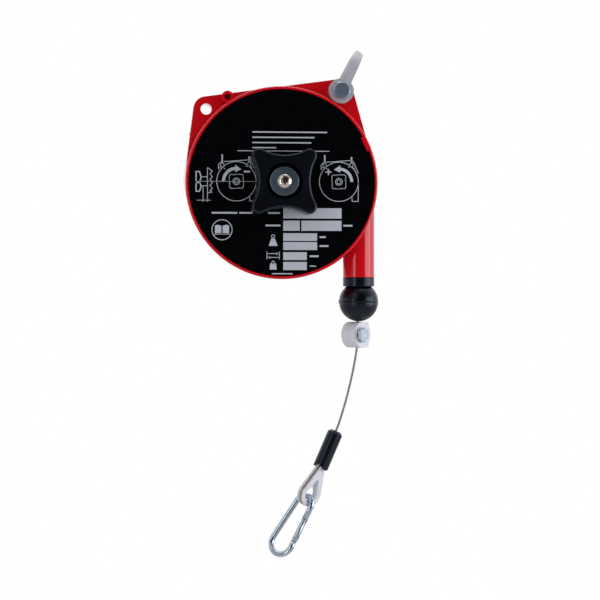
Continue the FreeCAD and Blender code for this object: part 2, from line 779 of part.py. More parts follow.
def lobed(sketch, shape):
    """A square outline with round corners and hollow sides, from (corner reach, corner radius, waist)."""
    reach, radius, waist = shape
    sag = reach + radius - waist
    hollow = (reach * reach + (waist - reach) * (waist - reach) - radius * radius) / (2 * sag)
    centre = (hollow + waist).number
    corner, ring, wide = reach.number, radius.number, hollow.number
    toward = math.degrees(math.atan2(corner, centre - corner))
    for quarter in range(4):
        spin = FreeCAD.Rotation(Z, 90 * quarter)
        turn = 90 * quarter
        middle = spin.multVec(FreeCAD.Vector(corner, corner, 0))
        ends = map(math.radians, (turn - toward, turn + 90 + toward))
        sketch.addGeometry(Part.ArcOfCircle(Part.Circle(middle, Z, ring), *ends), False)
        far = spin.multVec(FreeCAD.Vector(0, centre, 0))
        ends = map(math.radians, (turn + 270 - toward, turn + 270 + toward))
        sketch.addGeometry(Part.ArcOfCircle(Part.Circle(far, Z, wide), *ends), False)
    for quarter, (side_x, side_y) in enumerate(((1, 1), (-1, 1), (-1, -1), (1, -1))):
        convex, concave = 2 * quarter, 2 * quarter + 1
        sketch.addConstraint(Sketcher.Constraint("Tangent", convex, 2, concave, 2))
        sketch.addConstraint(Sketcher.Constraint("Tangent", concave, 1, (convex + 2) % 8, 1))
        pin_point(sketch, convex, 3, (side_x * reach, side_y * reach))
        for element, size in ((convex, radius), (concave, hollow)):
            index = sketch.addConstraint(Sketcher.Constraint("Radius", element, size.number))
            sketch.setExpression(f"Constraints[{index}]", size.formula)


def make_knob():
    shape = (S.knob_corner_reach, S.knob_corner_radius, S.knob_waist)
    blank = plate("knob_blank", lobed, shape, KNOB_BACK, KNOB_FRONT)
    front = KNOB_FRONT.number
    round_edges(blank, "knob_edge", S.knob_edge_round,
                lambda edge: math.isclose(edge.BoundBox.YMin, front, abs_tol=1e-3)
                and math.isclose(edge.BoundBox.YMax, front, abs_tol=1e-3))
    hollow = cut("knob_shell", blank, [
        rod("knob_recess", S.knob_recess_radius, KNOB_WEB_FRONT, KNOB_FRONT),
        rod("knob_pocket", S.crown_outer_radius + S.crown_clearance, KNOB_BACK, KNOB_WEB_BACK),
    ])
    teeth = saw_teeth("knob_teeth", KNOB_WEB_BACK, KNOB_BACK, KNOB_WEB_BACK - S.slip_fit, False)
    toothed = fuse("knob_toothed", [hollow, teeth])
    hole = hexagon("knob_hex_hole", S.hex_flats + 2 * S.running_fit, KNOB_BACK, KNOB_WEB_FRONT)
    return piece(cut("knob_solid", toothed, [hole]), "knob")


def make_knob_spring():
    start = KNOB_WEB_FRONT - S.coil_wire_radius - S.seat_gap
    length = (start - (WASHER_BACK + S.coil_wire_radius + S.seat_gap)).number
    path = Part.makeHelix(length / S.coil_turns.number, length, S.coil_mean_radius.number)
    path.rotate(FreeCAD.Vector(), X, 90)
    path.translate(FreeCAD.Vector(0, start.number, 0))
    section = document.addObject("Part::RegularPolygon", "coil_section")
    section.Polygon = 6
    bind(section, Circumradius=S.coil_wire_radius)
    edge = path.Edges[0]
    place = edge.valueAt(edge.FirstParameter)
    section.Placement = FreeCAD.Placement(place, FreeCAD.Rotation(Z, edge.tangentAt(edge.FirstParameter)))
    sweep = document.addObject("Part::Sweep", "knob_spring_solid")
    sweep.Sections = [section]
    sweep.Spine = (shaped("coil_path", path), [f"Edge{i}" for i in range(1, len(path.Edges) + 1)])
    sweep.Solid, sweep.Frenet = True, True
    return piece(sweep, "knob_spring")


# ---------------------------------------------------------------- drum and power spring
DRUM_INNER_HALF = S.drum_half_width - S.drum_web
DRUM_CAVITY = DRUM_RADIUS - S.drum_rim_wall
FLANGE_RADIUS = CAVITY_RADIUS - S.drum_flange_gap
DRUM_SCREW_CIRCLE = DRUM_RADIUS - S.drum_rim_wall / 2
FLANGE_FACE = S.wound_half_width + S.seat_gap
BEARING_RADIUS = S.arbor_radius + S.running_fit
BUSH_OUTER = BEARING_RADIUS + S.bush_wall
DRUM_SCREW_ANGLES = (45.0, 135.0, 225.0, 315.0)


def drum_screw(name, radius, back, front):
    """One of the drum cover's screw holes or shanks for each angle."""
    rods = []
    for number, angle in enumerate(DRUM_SCREW_ANGLES):
        rods.append(rod(f"{name}_{number}", radius, back, front, *polar(DRUM_SCREW_CIRCLE, angle)))
    return rods


def make_drum():
    web, inner, bore = S.drum_half_width, DRUM_INNER_HALF, BUSH_OUTER + S.slip_fit
    body = turned("drum_body", [
        (bore, inner), (DRUM_CAVITY, inner), (DRUM_CAVITY, -inner), (FLANGE_RADIUS, -inner),
        (FLANGE_RADIUS, -FLANGE_FACE), (DRUM_RADIUS, -FLANGE_FACE), (DRUM_RADIUS, FLANGE_FACE),
        (FLANGE_RADIUS, FLANGE_FACE), (FLANGE_RADIUS, inner), (DRUM_RADIUS, inner), (DRUM_RADIUS, web),
        (bore, web),
    ])
    pocket = cylinder("anchor_pocket", S.anchor_radius + S.slip_fit, S.drum_rim_wall + 2 * OVERRUN, 0, 0,
                      DRUM_CAVITY - OVERRUN)
    pilots = drum_screw("drum_pilot", S.screw_radius - S.slip_fit, 0, -DRUM_INNER_HALF)
    return piece(cut("drum_solid", body, [pocket, *pilots]), "drum")


def make_drum_cover():
    disc = turned("cover_disc", [
        (BEARING_RADIUS, -S.drum_half_width), (DRUM_RADIUS, -S.drum_half_width),
        (DRUM_RADIUS, -DRUM_INNER_HALF), (BEARING_RADIUS, -DRUM_INNER_HALF),
    ])
    holes = drum_screw("cover_hole", S.screw_radius, -DRUM_INNER_HALF, -S.drum_half_width)
    return piece(cut("drum_cover_solid", disc, holes), "drum_cover")


def make_drum_screws():
    shank = S.screw_radius - 2 * S.slip_fit
    shanks = drum_screw("drum_screw_shank", shank, -S.drum_half_width + S.drum_web + S.screw_thread_depth,
                        -S.drum_half_width)
    heads = drum_screw("drum_screw_head", S.screw_head_radius, -S.drum_half_width,
                       -S.drum_half_width - S.drum_screw_head_height)
    screws = [fuse(f"drum_screw_{number}", pair) for number, pair in enumerate(zip(shanks, heads))]
    return piece(group("drum_screws_group", screws), "drum_screws")


def make_drum_bush():
    return piece(turned("drum_bush_solid", [
        (BEARING_RADIUS, DRUM_INNER_HALF), (BUSH_OUTER, DRUM_INNER_HALF), (BUSH_OUTER, S.drum_half_width),
        (BEARING_RADIUS, S.drum_half_width),
    ]), "drum_bush")


def make_wound_rope():
    inner, outer = DRUM_RADIUS + S.running_fit, ROPE_X + S.rope_radius
    return piece(turned("wound_rope_solid", [
        (inner, -S.wound_half_width), (outer, -S.wound_half_width), (outer, S.wound_half_width),
        (inner, S.wound_half_width),
    ]), "wound_rope")


def make_rope_anchor():
    plug = cylinder("rope_anchor_solid", S.anchor_radius, S.drum_rim_wall - S.seat_gap)
    return piece(plug, "rope_anchor", 0, 0, DRUM_CAVITY)


def spiral(inner, growth, half_turns, offset):
    """Half circles that grow about the drum's axis, offset from the ribbon's middle line."""
    edges = []
    start, side = inner, 1
    for _ in range(half_turns):
        end = start + growth
        centre, radius = side * (start - end) / 2, (start + end) / 2 + offset
        ends = [FreeCAD.Vector(centre + turn * side * radius, 0, 0) for turn in (1, -1)]
        edges.append(Part.Arc(ends[0], FreeCAD.Vector(centre, 0, side * radius), ends[1]).toShape())
        start, side = end, -side
    return edges


def make_power_spring():
    """A flat spiral ribbon, hooked into the arbor's slot inside and lying against the drum's rim outside."""
    half = S.ribbon_thickness.number / 2
    inner = (S.arbor_radius + S.seat_gap + S.ribbon_thickness).number
    outer = (DRUM_CAVITY - S.seat_gap - S.ribbon_thickness / 2).number
    half_turns = 2 * int(S.ribbon_turns.number)
    growth = (outer - inner) / half_turns
    near, far = (spiral(inner, growth, half_turns, offset) for offset in (-half, half))
    tab = (S.arbor_radius - S.arbor_slot_depth + S.seat_gap).number
    mouth = [FreeCAD.Vector(inner + half, 0, 0), FreeCAD.Vector(inner + half, 0, -2 * half),
             FreeCAD.Vector(tab, 0, -2 * half), FreeCAD.Vector(tab, 0, 0), FreeCAD.Vector(inner - half, 0, 0)]
    edges = [Part.LineSegment(a, b).toShape() for a, b in zip(mouth, mouth[1:])]
    last = [edge.Vertexes[-1].Point for edge in (near[-1], far[-1])]
    edges += near + [Part.LineSegment(*last).toShape()] + far
    face = Part.Face(Part.Wire(Part.__sortEdges__(edges)))
    width = S.ribbon_half_width.number
    face.translate(FreeCAD.Vector(0, -width, 0))
    return piece(shaped("power_spring_solid", face.extrude(FreeCAD.Vector(0, 2 * width, 0))), "power_spring")


# ---------------------------------------------------------------- rope, buffer and stop clamp
STEM_SHIFT, STEM_DROP = ROPE_ROUTE[0]
CLAMP_Z = (CLAMP_TOP + CLAMP_END) / 2
CLAMP_X = ROPE_X + STEM_SHIFT * (CLAMP_Z - ROPE_TOP_Z) / STEM_DROP
CLAMP_TURN = FreeCAD.Rotation(Z, S.clamp_turn.number)


def make_inner_rope():
    """The rope from the drum's side down to the buffer, which pays out."""
    outside = ROPE_X + S.rope_radius + S.seat_gap
    top = -root(outside * outside - DRUM_RADIUS * DRUM_RADIUS)
    straight = cylinder("inner_rope_solid", S.rope_radius, top - ROPE_TOP_Z)
    return piece(straight, "inner_rope", ROPE_X, 0, ROPE_TOP_Z)


def make_rope_stem():
    """The straight stretch of rope through the buffer and the stop clamp."""
    lean = math.degrees(math.atan2(STEM_SHIFT, STEM_DROP)) + 180
    return piece(cylinder("rope_stem_solid", S.rope_radius, math.hypot(STEM_SHIFT, STEM_DROP)), "rope_stem",
                 ROPE_X + STEM_SHIFT, 0, ROPE_TOP_Z + STEM_DROP, FreeCAD.Rotation(Y, lean))


def make_buffer_ball():
    ball = document.addObject("Part::Sphere", "ball")
    bind(ball, Radius=S.ball_radius)
    bore = cylinder("ball_bore", S.rope_radius + 2 * S.rope_play, 2 * S.ball_radius, 0, 0, -S.ball_radius)
    return piece(cut("buffer_ball_solid", ball, [bore]), "buffer_ball", ROPE_X, 0, BALL_Z)


def clamp_half(name, back, front):
    """One half of the stop clamp: a plate with one round end, bored for its screw, with the rope's groove."""
    radius = S.clamp_height / 2
    body = plate(f"{name}_plate", polygon, [
        (0, -radius), (S.clamp_flat_reach, -radius), (S.clamp_flat_reach, radius), (0, radius),
    ], back, front)
    end = rod(f"{name}_end", radius, back, front, -(S.clamp_round_reach - radius))
    strip = box(f"{name}_strip", (-(S.clamp_round_reach - radius), front, -radius), (0, back, radius))
    hole = rod(f"{name}_hole", S.clamp_screw_radius + S.slip_fit, back, front, -S.clamp_screw_offset)
    groove = cylinder(f"{name}_groove", S.rope_radius + S.rope_play, S.clamp_height, 0, 0, -radius)
    return cut(f"{name}_solid", fuse(f"{name}_blank", [body, strip, end]), [hole, groove])


def make_clamp():
    gap, reach, screw_x = S.clamp_split / 2, S.clamp_thickness / 2, -S.clamp_screw_offset
    seat, front = reach - S.clamp_head_height, -reach - S.clamp_nut_height
    well = rod("clamp_head_well", S.clamp_head_radius + S.slip_fit, reach, seat, screw_x)
    halves = {"clamp_front": clamp_half("clamp_front", -gap, -reach),
              "clamp_back": cut("clamp_back_welled", clamp_half("clamp_back", reach, gap), [well])}
    for name, solid in halves.items():
        piece(solid, name, CLAMP_X, 0, CLAMP_Z, CLAMP_TURN)
    head = rod("clamp_screw_head", S.clamp_head_radius, reach, seat, screw_x)
    shank = rod("clamp_screw_shank", S.clamp_screw_radius, seat, front, screw_x)
    piece(fuse("clamp_screw_solid", [head, shank]), "clamp_screw", CLAMP_X, 0, CLAMP_Z, CLAMP_TURN)
    flange = -reach - S.clamp_nut_flange_height
    blank = fuse("clamp_nut_blank", [
        hexagon("clamp_nut_hex", S.clamp_nut_flats, -reach, front, screw_x),
        rod("clamp_nut_flange", S.clamp_nut_flange_radius, -reach, flange, screw_x),
    ])
    thread = rod("clamp_nut_thread", S.clamp_screw_radius + S.slip_fit, -reach, front, screw_x)
    piece(cut("clamp_nut_solid", blank, [thread]), "clamp_nut", CLAMP_X, 0, CLAMP_Z, CLAMP_TURN)


def tangent_route(points):
    """Straight runs through the points, joined by arcs as large as the shorter run allows."""
    points = [FreeCAD.Vector(x, 0, z) for x, z in points]
    edges, radii = [], []
    start = points[0]
    for before, corner, after in zip(points, points[1:], points[2:]):
        arriving, leaving = corner - before, after - corner
        trim = TRIM_SHARE * min(arriving.Length, leaving.Length)
        half_turn = arriving.getAngle(leaving) / 2
        radii.append(trim / math.tan(half_turn))
        arriving.normalize()
        leaving.normalize()
        inward = leaving - arriving
        inward.normalize()
        first, last = corner - arriving * trim, corner + leaving * trim
        bulge = corner + inward * (radii[-1] / math.cos(half_turn) - radii[-1])
        edges += [Part.LineSegment(start, first), Part.Arc(first, bulge, last)]
        start = last
    edges.append(Part.LineSegment(start, points[-1]))
    return [edge.toShape() for edge in edges], radii


def make_rope():
    edges, radii = tangent_route(ROPE_ROUTE)
    print("rope radii (mm):", ", ".join(f"{radius:.0f}" for radius in radii))
    path = Part.Wire(edges)
    solid = swept("rope_solid", path, S.rope_radius)
    ideal = path.Length * math.pi * S.rope_radius.number ** 2
    print(f"rope length {path.Length:.1f} mm, volume {solid.Shape.Volume:.2f} of {ideal:.2f} mm3")
    return piece(solid, "rope", ROPE_X, 0, ROPE_TOP_Z)


# ---------------------------------------------------------------- end fitting
(LAST_X, LAST_Z), (END_X, END_Z) = ROPE_ROUTE[-2:]
SLING_LEAN = math.degrees(math.atan2(LAST_X - END_X, LAST_Z - END_Z))
SLING_TURN = FreeCAD.Rotation(Y, SLING_LEAN)
THIMBLE_TURN = SLING_TURN.multiply(FreeCAD.Rotation(Z, S.thimble_turn.number))
SLING_X = ROPE_X + END_X + S.ferrule_depth * sine(SLING_LEAN)
SLING_Z = ROPE_TOP_Z + END_Z + S.ferrule_depth * cosine(SLING_LEAN)
EYE_DEPTH = S.thimble_depth + S.thimble_length - S.thimble_radius
APEX_DEPTH = S.thimble_depth + S.thimble_apex_radius
CORE_RADIUS = S.thimble_radius - S.thimble_groove_depth
LOOP_RADIUS = CORE_RADIUS + S.running_fit + S.rope_radius
FERRULE_END = S.ferrule_depth + S.ferrule_length


def sling_piece(thing, label, turn=SLING_TURN):
    return piece(thing, label, SLING_X, 0, SLING_Z, turn)


def make_ferrule():
    straight = cylinder("ferrule_bar", S.ferrule_radius, S.ferrule_length, 0, 0, -FERRULE_END)
    return sling_piece(group("ferrule_solid", [straight]), "ferrule")


def make_sleeve():
    hole = S.rope_radius + S.rope_play
    inside = S.ferrule_depth - S.seat_gap
    body = turned("sleeve_body", [
        (hole, 0), (S.sleeve_radius - S.sleeve_shoulder, 0), (S.sleeve_radius, -S.sleeve_shoulder),
        (S.sleeve_radius, -S.sleeve_length), (S.sleeve_radius - S.sleeve_lip, -S.sleeve_length),
        (S.sleeve_bore_radius, -FERRULE_END), (S.sleeve_bore_radius, -inside), (hole, -inside),
    ], "Z")
    reach, past = S.sleeve_radius + OVERRUN, -S.sleeve_length - OVERRUN
    mouth = plate("sleeve_mouth", polygon, [
        (-reach, past), (reach, past), (reach, -S.sleeve_length),
        (0, -S.sleeve_length + S.sleeve_mouth_depth), (-reach, -S.sleeve_length),
    ], reach, -reach)
    move(mouth, turn=FreeCAD.Rotation(Z, 90))
    return sling_piece(cut("sleeve_solid", body, [mouth]), "ferrule_sleeve", THIMBLE_TURN)


def thimble_plate(name, radius, apex, back, front):
    return plate(name, belt, [(0, -EYE_DEPTH, radius), (0, -APEX_DEPTH, apex)], back, front)


def make_thimble():
    half, groove = S.thimble_thickness / 2, S.thimble_groove_width / 2
    plates = [
        thimble_plate("thimble_back", S.thimble_radius, S.thimble_apex_radius, half, groove),
        thimble_plate("thimble_core", CORE_RADIUS, S.thimble_core_apex_radius, groove, -groove),
        thimble_plate("thimble_front", S.thimble_radius, S.thimble_apex_radius, -groove, -half),
    ]
    top = EYE_DEPTH - S.thimble_eye_length + S.thimble_eye_radius + S.thimble_eye_apex_radius
    eye = plate("thimble_eye", belt, [
        (0, -EYE_DEPTH, S.thimble_eye_radius), (0, -top, S.thimble_eye_apex_radius),
    ], half, -half)
    flares = []
    for name, wide, narrow in (("back", half, half - S.thimble_eye_chamfer),
                               ("front", -half, -half + S.thimble_eye_chamfer)):
        flares.append(turned(f"thimble_flare_{name}", [
            (0, narrow), (S.thimble_eye_radius, narrow), (S.thimble_eye_radius + S.thimble_eye_chamfer, wide),
            (0, wide),
        ]))
        move(flares[-1], 0, 0, -EYE_DEPTH)
    solid = cut("thimble_solid", fuse("thimble_blank", plates), [eye, *flares])
    return sling_piece(solid, "thimble", THIMBLE_TURN)


def make_rope_eye():
    """The rope's loop: two legs out of the ferrule that bend out and run round the thimble's groove."""
    eye, loop = EYE_DEPTH.number, LOOP_RADIUS.number
    spread, bend = S.rope_leg_spread.number, FERRULE_END.number + S.rope_leg_bend.number
    reach = math.hypot(spread, eye - bend)
    heading = math.atan2(eye - bend, spread)
    normal = heading - math.acos(loop / reach)
    touch = (loop * math.cos(normal), loop * math.sin(normal) - eye)
    leg, _ = tangent_route([(spread, -FERRULE_END.number), (spread, -bend), touch])
    turn = Part.Arc(FreeCAD.Vector(touch[0], 0, touch[1]), FreeCAD.Vector(0, 0, -eye - loop),
                    FreeCAD.Vector(-touch[0], 0, touch[1])).toShape()
    other, _ = tangent_route([(-touch[0], touch[1]), (-spread, -bend), (-spread, -FERRULE_END.number)])
    path = Part.Wire(leg + [turn] + other)
    return sling_piece(swept("rope_eye_solid", path, S.rope_radius), "rope_eye", THIMBLE_TURN)


# ---------------------------------------------------------------- snap hook
HOOK_DROP = EYE_DEPTH + S.thimble_eye_radius - S.hook_wire_radius - S.hook_seat_gap
HOOK_X = SLING_X - HOOK_DROP * sine(SLING_LEAN)
HOOK_Z = SLING_Z - HOOK_DROP * cosine(SLING_LEAN)
HOOK_TURN = FreeCAD.Rotation(Y, S.hook_lean.number).multiply(FreeCAD.Rotation(Z, S.hook_turn.number))
TOP_CENTRE = S.hook_top_radius
BOTTOM_CENTRE = S.hook_length - 2 * S.hook_wire_radius - S.hook_bottom_radius
LEG_SPREAD = (S.hook_bottom_radius - S.hook_top_radius) / (BOTTOM_CENTRE - TOP_CENTRE)
LEG_RISE = root(1 - LEG_SPREAD * LEG_SPREAD)
LEG_LEAN = math.degrees(math.asin(LEG_SPREAD.number))


def on_leg(depth, side=1):
    """A point of a leg's middle line, at a depth below the middle of the hook's top bow."""
    below = depth - TOP_CENTRE
    return side * (S.hook_top_radius + below * LEG_SPREAD) / LEG_RISE, -depth


def leg_frame(thing, depth):
    """Place something modelled along Z on the gate's leg."""
    x, z = on_leg(depth)
    return move(thing, x, 0, z, FreeCAD.Rotation(Y, -LEG_LEAN))


def hook_piece(thing, label):
    return piece(thing, label, HOOK_X, 0, HOOK_Z, HOOK_TURN)


def hook_wire(low, high):
    """The hook's middle line from the gate's pivot round both bows to its nose."""
    top, bottom = TOP_CENTRE.number, BOTTOM_CENTRE.number
    small, large = S.hook_top_radius.number, S.hook_bottom_radius.number
    spread, rise = LEG_SPREAD.number, LEG_RISE.number

    def at(depth, radius, side):
        return FreeCAD.Vector(side * radius * rise, 0, radius * spread - depth)
    lines = [
        Part.LineSegment(low, at(bottom, large, 1)),
        Part.Arc(at(bottom, large, 1), FreeCAD.Vector(0, 0, -bottom - large), at(bottom, large, -1)),
        Part.LineSegment(at(bottom, large, -1), at(top, small, -1)),
        Part.Arc(at(top, small, -1), FreeCAD.Vector(0, 0, small - top), at(top, small, 1)),
        Part.LineSegment(at(top, small, 1), high),
    ]
    return Part.Wire([line.toShape() for line in lines])


GATE_LENGTH = (S.gate_pivot - S.gate_top) / LEG_RISE
GATE_SLOT = S.tongue_thickness + 2 * S.tongue_gap
TAIL_GAP = S.gate_tail + S.seat_gap
GATE_SPRING_FOOT = S.tongue_half_width + S.seat_gap


def make_hook_frame():
    low = on_leg(S.gate_pivot + TAIL_GAP * LEG_RISE)
    high = on_leg(S.gate_top - S.seat_gap * LEG_RISE)
    ends = [FreeCAD.Vector(x.number, 0, z.number) for x, z in (low, high)]
    wire = swept("hook_bow", hook_wire(*ends), S.hook_wire_radius)
    half, wide = S.tongue_thickness / 2, S.tongue_half_width
    pivot = fuse("pivot_tongue", [
        box("pivot_tongue_bar", (-wide, -half, -TAIL_GAP - OVERRUN), (wide, half, 0)),
        rod("pivot_tongue_end", wide, half, -half),
    ])
    nose = box("nose_tongue", (-wide, -half, GATE_LENGTH - S.hook_wire_radius),
               (wide, half, GATE_LENGTH + OVERRUN))
    tongues = leg_frame(fuse("hook_tongues", [pivot, nose]), S.gate_pivot)
    bore = rod("hook_rivet_bore", S.rivet_radius, half, -half)
    hole = leg_frame(group("hook_rivet_hole", [bore]), S.gate_pivot)
    return hook_piece(cut("hook_frame_solid", fuse("hook_blank", [wire, tongues]), [hole]), "hook_frame")


def make_gate():
    radius, reach = S.hook_wire_radius, S.hook_wire_radius + OVERRUN
    shoulder = root(S.gate_tail * S.gate_tail - radius * radius)
    lean = S.gate_tail_angle
    blank = turned("gate_blank", [
        (0, -S.gate_tail), (S.gate_tail * sine(lean), -S.gate_tail * cosine(lean)), (radius, -shoulder),
        (radius, GATE_LENGTH), (0, GATE_LENGTH),
    ], "Z")
    slot, nose = GATE_SLOT / 2, GATE_LENGTH - radius - S.seat_gap
    low = box("gate_low_slot", (-reach, -slot, -reach), (reach, slot, radius))
    high = box("gate_high_slot", (-reach, -slot, nose), (reach, slot, GATE_LENGTH + OVERRUN))
    hole = rod("gate_hole", S.rivet_radius + S.running_fit, radius, -radius)
    pocket_end = GATE_SPRING_FOOT + S.gate_spring_length
    pocket = cylinder("gate_spring_pocket", S.gate_spring_radius + S.slip_fit, pocket_end, 0, 0, 0)
    solid = cut("gate_straight", blank, [low, high, hole, pocket])
    return hook_piece(group("gate_solid", [leg_frame(solid, S.gate_pivot)]), "gate")


def make_gate_rivet():
    straight = rod("rivet_bar", S.rivet_radius, S.hook_wire_radius, -S.hook_wire_radius)
    solid = leg_frame(group("rivet_straight", [straight]), S.gate_pivot)
    return hook_piece(group("gate_rivet_solid", [solid]), "gate_rivet")


def make_gate_spring():
    straight = cylinder("gate_spring_coil", S.gate_spring_radius, S.gate_spring_length, 0, 0,
                        GATE_SPRING_FOOT)
    solid = leg_frame(group("gate_spring_straight", [straight]), S.gate_pivot)
    return hook_piece(group("gate_spring_solid", [solid]), "gate_spring")


# ---------------------------------------------------------------- build, check and write
for make in (
    make_front_cover, make_back_shell, make_front_label, make_assembly_screws, make_outlet_bush, make_shackle,
    make_shackle_bolt, make_shackle_nut, make_arbor, make_retaining_washer, make_centre_screw, make_knob,
    make_knob_spring, make_drum, make_drum_cover, make_drum_screws, make_drum_bush, make_wound_rope,
    make_rope_anchor, make_power_spring, make_inner_rope, make_rope_stem, make_buffer_ball, make_clamp,
    make_rope, make_ferrule, make_sleeve, make_thimble, make_rope_eye, make_hook_frame, make_gate,
    make_gate_rivet, make_gate_spring,
):
    make()
document.recompute()

for item in document.Objects:
    if {"Invalid", "Error"} & set(item.State):
        raise SystemExit(f"{item.Name} failed: {item.State}")
for thing in PIECES:
    if thing.Shape.isNull() or not thing.Shape.isValid() or not thing.Shape.Solids:
        raise SystemExit(f"{thing.Label} has no valid solid")
for thing in PIECES:
    thing.Shape.exportStep(f"parts/{thing.Label}.step")
print(len(PIECES), "sub-parts written")
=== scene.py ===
"""A spring balancer that carries a hand tool on a wire rope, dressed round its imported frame."""
import logging
import math
from dataclasses import dataclass, field, replace
from enum import Enum
from typing import Callable, Iterable, Sequence

import bmesh
import bpy
from mathutils import Matrix, Vector


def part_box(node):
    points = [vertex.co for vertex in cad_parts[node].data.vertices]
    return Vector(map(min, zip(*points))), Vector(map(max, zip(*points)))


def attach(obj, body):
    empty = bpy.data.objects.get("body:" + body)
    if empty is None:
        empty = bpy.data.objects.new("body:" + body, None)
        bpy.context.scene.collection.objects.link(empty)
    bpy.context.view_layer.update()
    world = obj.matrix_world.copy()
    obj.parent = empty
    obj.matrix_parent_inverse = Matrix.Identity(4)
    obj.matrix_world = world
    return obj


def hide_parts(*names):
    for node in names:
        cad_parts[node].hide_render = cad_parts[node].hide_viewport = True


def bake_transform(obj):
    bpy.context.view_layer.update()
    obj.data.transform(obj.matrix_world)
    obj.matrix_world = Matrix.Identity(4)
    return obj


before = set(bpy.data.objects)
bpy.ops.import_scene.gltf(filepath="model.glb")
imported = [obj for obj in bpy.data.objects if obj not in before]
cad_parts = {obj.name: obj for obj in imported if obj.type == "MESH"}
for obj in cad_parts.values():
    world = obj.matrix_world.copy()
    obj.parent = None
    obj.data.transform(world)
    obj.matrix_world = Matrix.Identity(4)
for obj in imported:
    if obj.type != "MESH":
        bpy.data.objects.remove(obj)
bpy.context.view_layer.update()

LOG = logging.getLogger("tool_balancer")
MM = 0.001
SHARP_ANGLE = math.radians(35)
Point = tuple[float, float]
Piece = bpy.types.Object
NodeTree = bpy.types.NodeTree


def linear(colour: str) -> tuple[float, float, float, float]:
    """Turn an sRGB hex colour into linear light.

    Args:
        colour: six hex digits, such as "B90012".

    Returns:
        Red, green, blue and an alpha of one.
    """
    parts = [int(colour[start:start + 2], 16) / 255 for start in (0, 2, 4)]
    red, green, blue = [part / 12.92 if part <= 0.04045 else ((part + 0.055) / 1.055) ** 2.4 for part in parts]
    return red, green, blue, 1.0


def middle(node: str) -> Vector:
    """Give the middle of a node's box, in metres."""
    low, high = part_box(node)
    return (low + high) / 2


# ---- nodes and finishes
def add_node(tree: NodeTree, kind: str, settings: dict | None = None,
             sockets: dict | None = None) -> bpy.types.NodeOutputs:
    """Add one node with its settings, values and links.

    Args:
        tree: the node tree that gets it.
        kind: the node's type name.
        settings: the node's own properties.
        sockets: input name or number to a value, or to the output socket that feeds it.

    Returns:
        The new node's outputs.
    """
    new = tree.nodes.new(kind)
    for name, value in (settings or {}).items():
        setattr(new, name, value)
    for name, value in (sockets or {}).items():
        if isinstance(value, bpy.types.NodeSocket):
            tree.links.new(value, new.inputs[name])
        else:
            new.inputs[name].default_value = value
    return new.outputs


COAT_ROUGHNESS = 0.08
GLOW_DEPTH = 1.2 * MM
BROAD_GRAIN = 22


class Texture(Enum):
    """How a surface was made, which decides its pattern."""

    MOULDED = "moulded"
    CAST = "cast"
    PLATED = "plated"
    SPRUNG = "sprung"
    FILM = "film"


@dataclass(frozen=True)
class Finish:
    """What a surface is made of and how it looks.

    grain_mm is the size of the pattern's spots, relief_mm the height of its bumps, mottle the share by which the
    colour varies and spread the amount by which the roughness varies.
    """

    name: str
    slot: str
    colour: str
    shade: str
    texture: Texture
    roughness: float
    grain_mm: float
    relief_mm: float
    mottle: float = 0.3
    spread: float = 0.06
    metallic: float = 0.0
    ior: float = 1.5
    coat: float = 0.0
    subsurface: float = 0.0
    gloss_tint: str = "FFFFFF"

    def material(self) -> bpy.types.Material:
        """Build the material, or give the one that is already there.

        Returns:
            The material.
        """
        known = bpy.data.materials.get(self.name)
        if known:
            return known
        material = bpy.data.materials.new(self.name)
        material.use_nodes = True
        tree = material.node_tree
        tree.nodes.clear()
        place = add_node(tree, "ShaderNodeTexCoord")["Object"]
        if self.texture is Texture.SPRUNG:
            place = add_node(tree, "ShaderNodeMapping", sockets={"Vector": place, "Scale": (0.1, 1, 1)})[0]
        fine = add_node(tree, "ShaderNodeTexNoise", sockets={
            "Vector": place, "Scale": 1 / (self.grain_mm * MM), "Detail": 3.0, "Roughness": 0.55,
        })[0]
        broad = add_node(tree, "ShaderNodeTexNoise", sockets={
            "Vector": place, "Scale": 1 / (self.grain_mm * BROAD_GRAIN * MM), "Detail": 2.0,
        })[0]
        relief = fine
        if self.texture is Texture.CAST:
            relief = add_node(tree, "ShaderNodeTexVoronoi", sockets={
                "Vector": place, "Scale": 1 / (self.grain_mm * 2 * MM),
            })["Distance"]
        mixed = add_node(tree, "ShaderNodeMath", {"operation": "MULTIPLY"}, {0: fine, 1: broad})[0]
        share = add_node(tree, "ShaderNodeMapRange", sockets={
            "Value": mixed, "From Min": 0.12, "From Max": 0.4, "To Min": 0.0, "To Max": self.mottle,
        })[0]
        paint = add_node(tree, "ShaderNodeMix", {"data_type": "RGBA"}, {
            "Factor": share, 6: linear(self.colour), 7: linear(self.shade),
        })[2]
        rough = add_node(tree, "ShaderNodeMapRange", sockets={
            "Value": broad, "From Min": 0.3, "From Max": 0.7,
            "To Min": max(self.roughness - self.spread, 0.02), "To Max": self.roughness + self.spread,
        })[0]
        bump = add_node(tree, "ShaderNodeBump", sockets={
            "Strength": 0.5, "Distance": self.relief_mm * MM, "Height": relief,
        })[0]
        shader = add_node(tree, "ShaderNodeBsdfPrincipled", sockets={
            "Base Color": paint, "Roughness": rough, "Normal": bump, "Metallic": self.metallic,
        })[0]
        values = {"Coat Weight": self.coat, "Coat Roughness": COAT_ROUGHNESS,
                  "Specular Tint": linear(self.gloss_tint)}
        if not self.metallic:
            values["IOR"] = self.ior
        if self.subsurface:
            values |= {"Subsurface Weight": self.subsurface, "Subsurface Radius": (1.0, 1.0, 1.0),
                       "Subsurface Scale": GLOW_DEPTH}
        for name, value in values.items():
            shader.node.inputs[name].default_value = value
        add_node(tree, "ShaderNodeOutputMaterial", sockets={"Surface": shader})
        return material


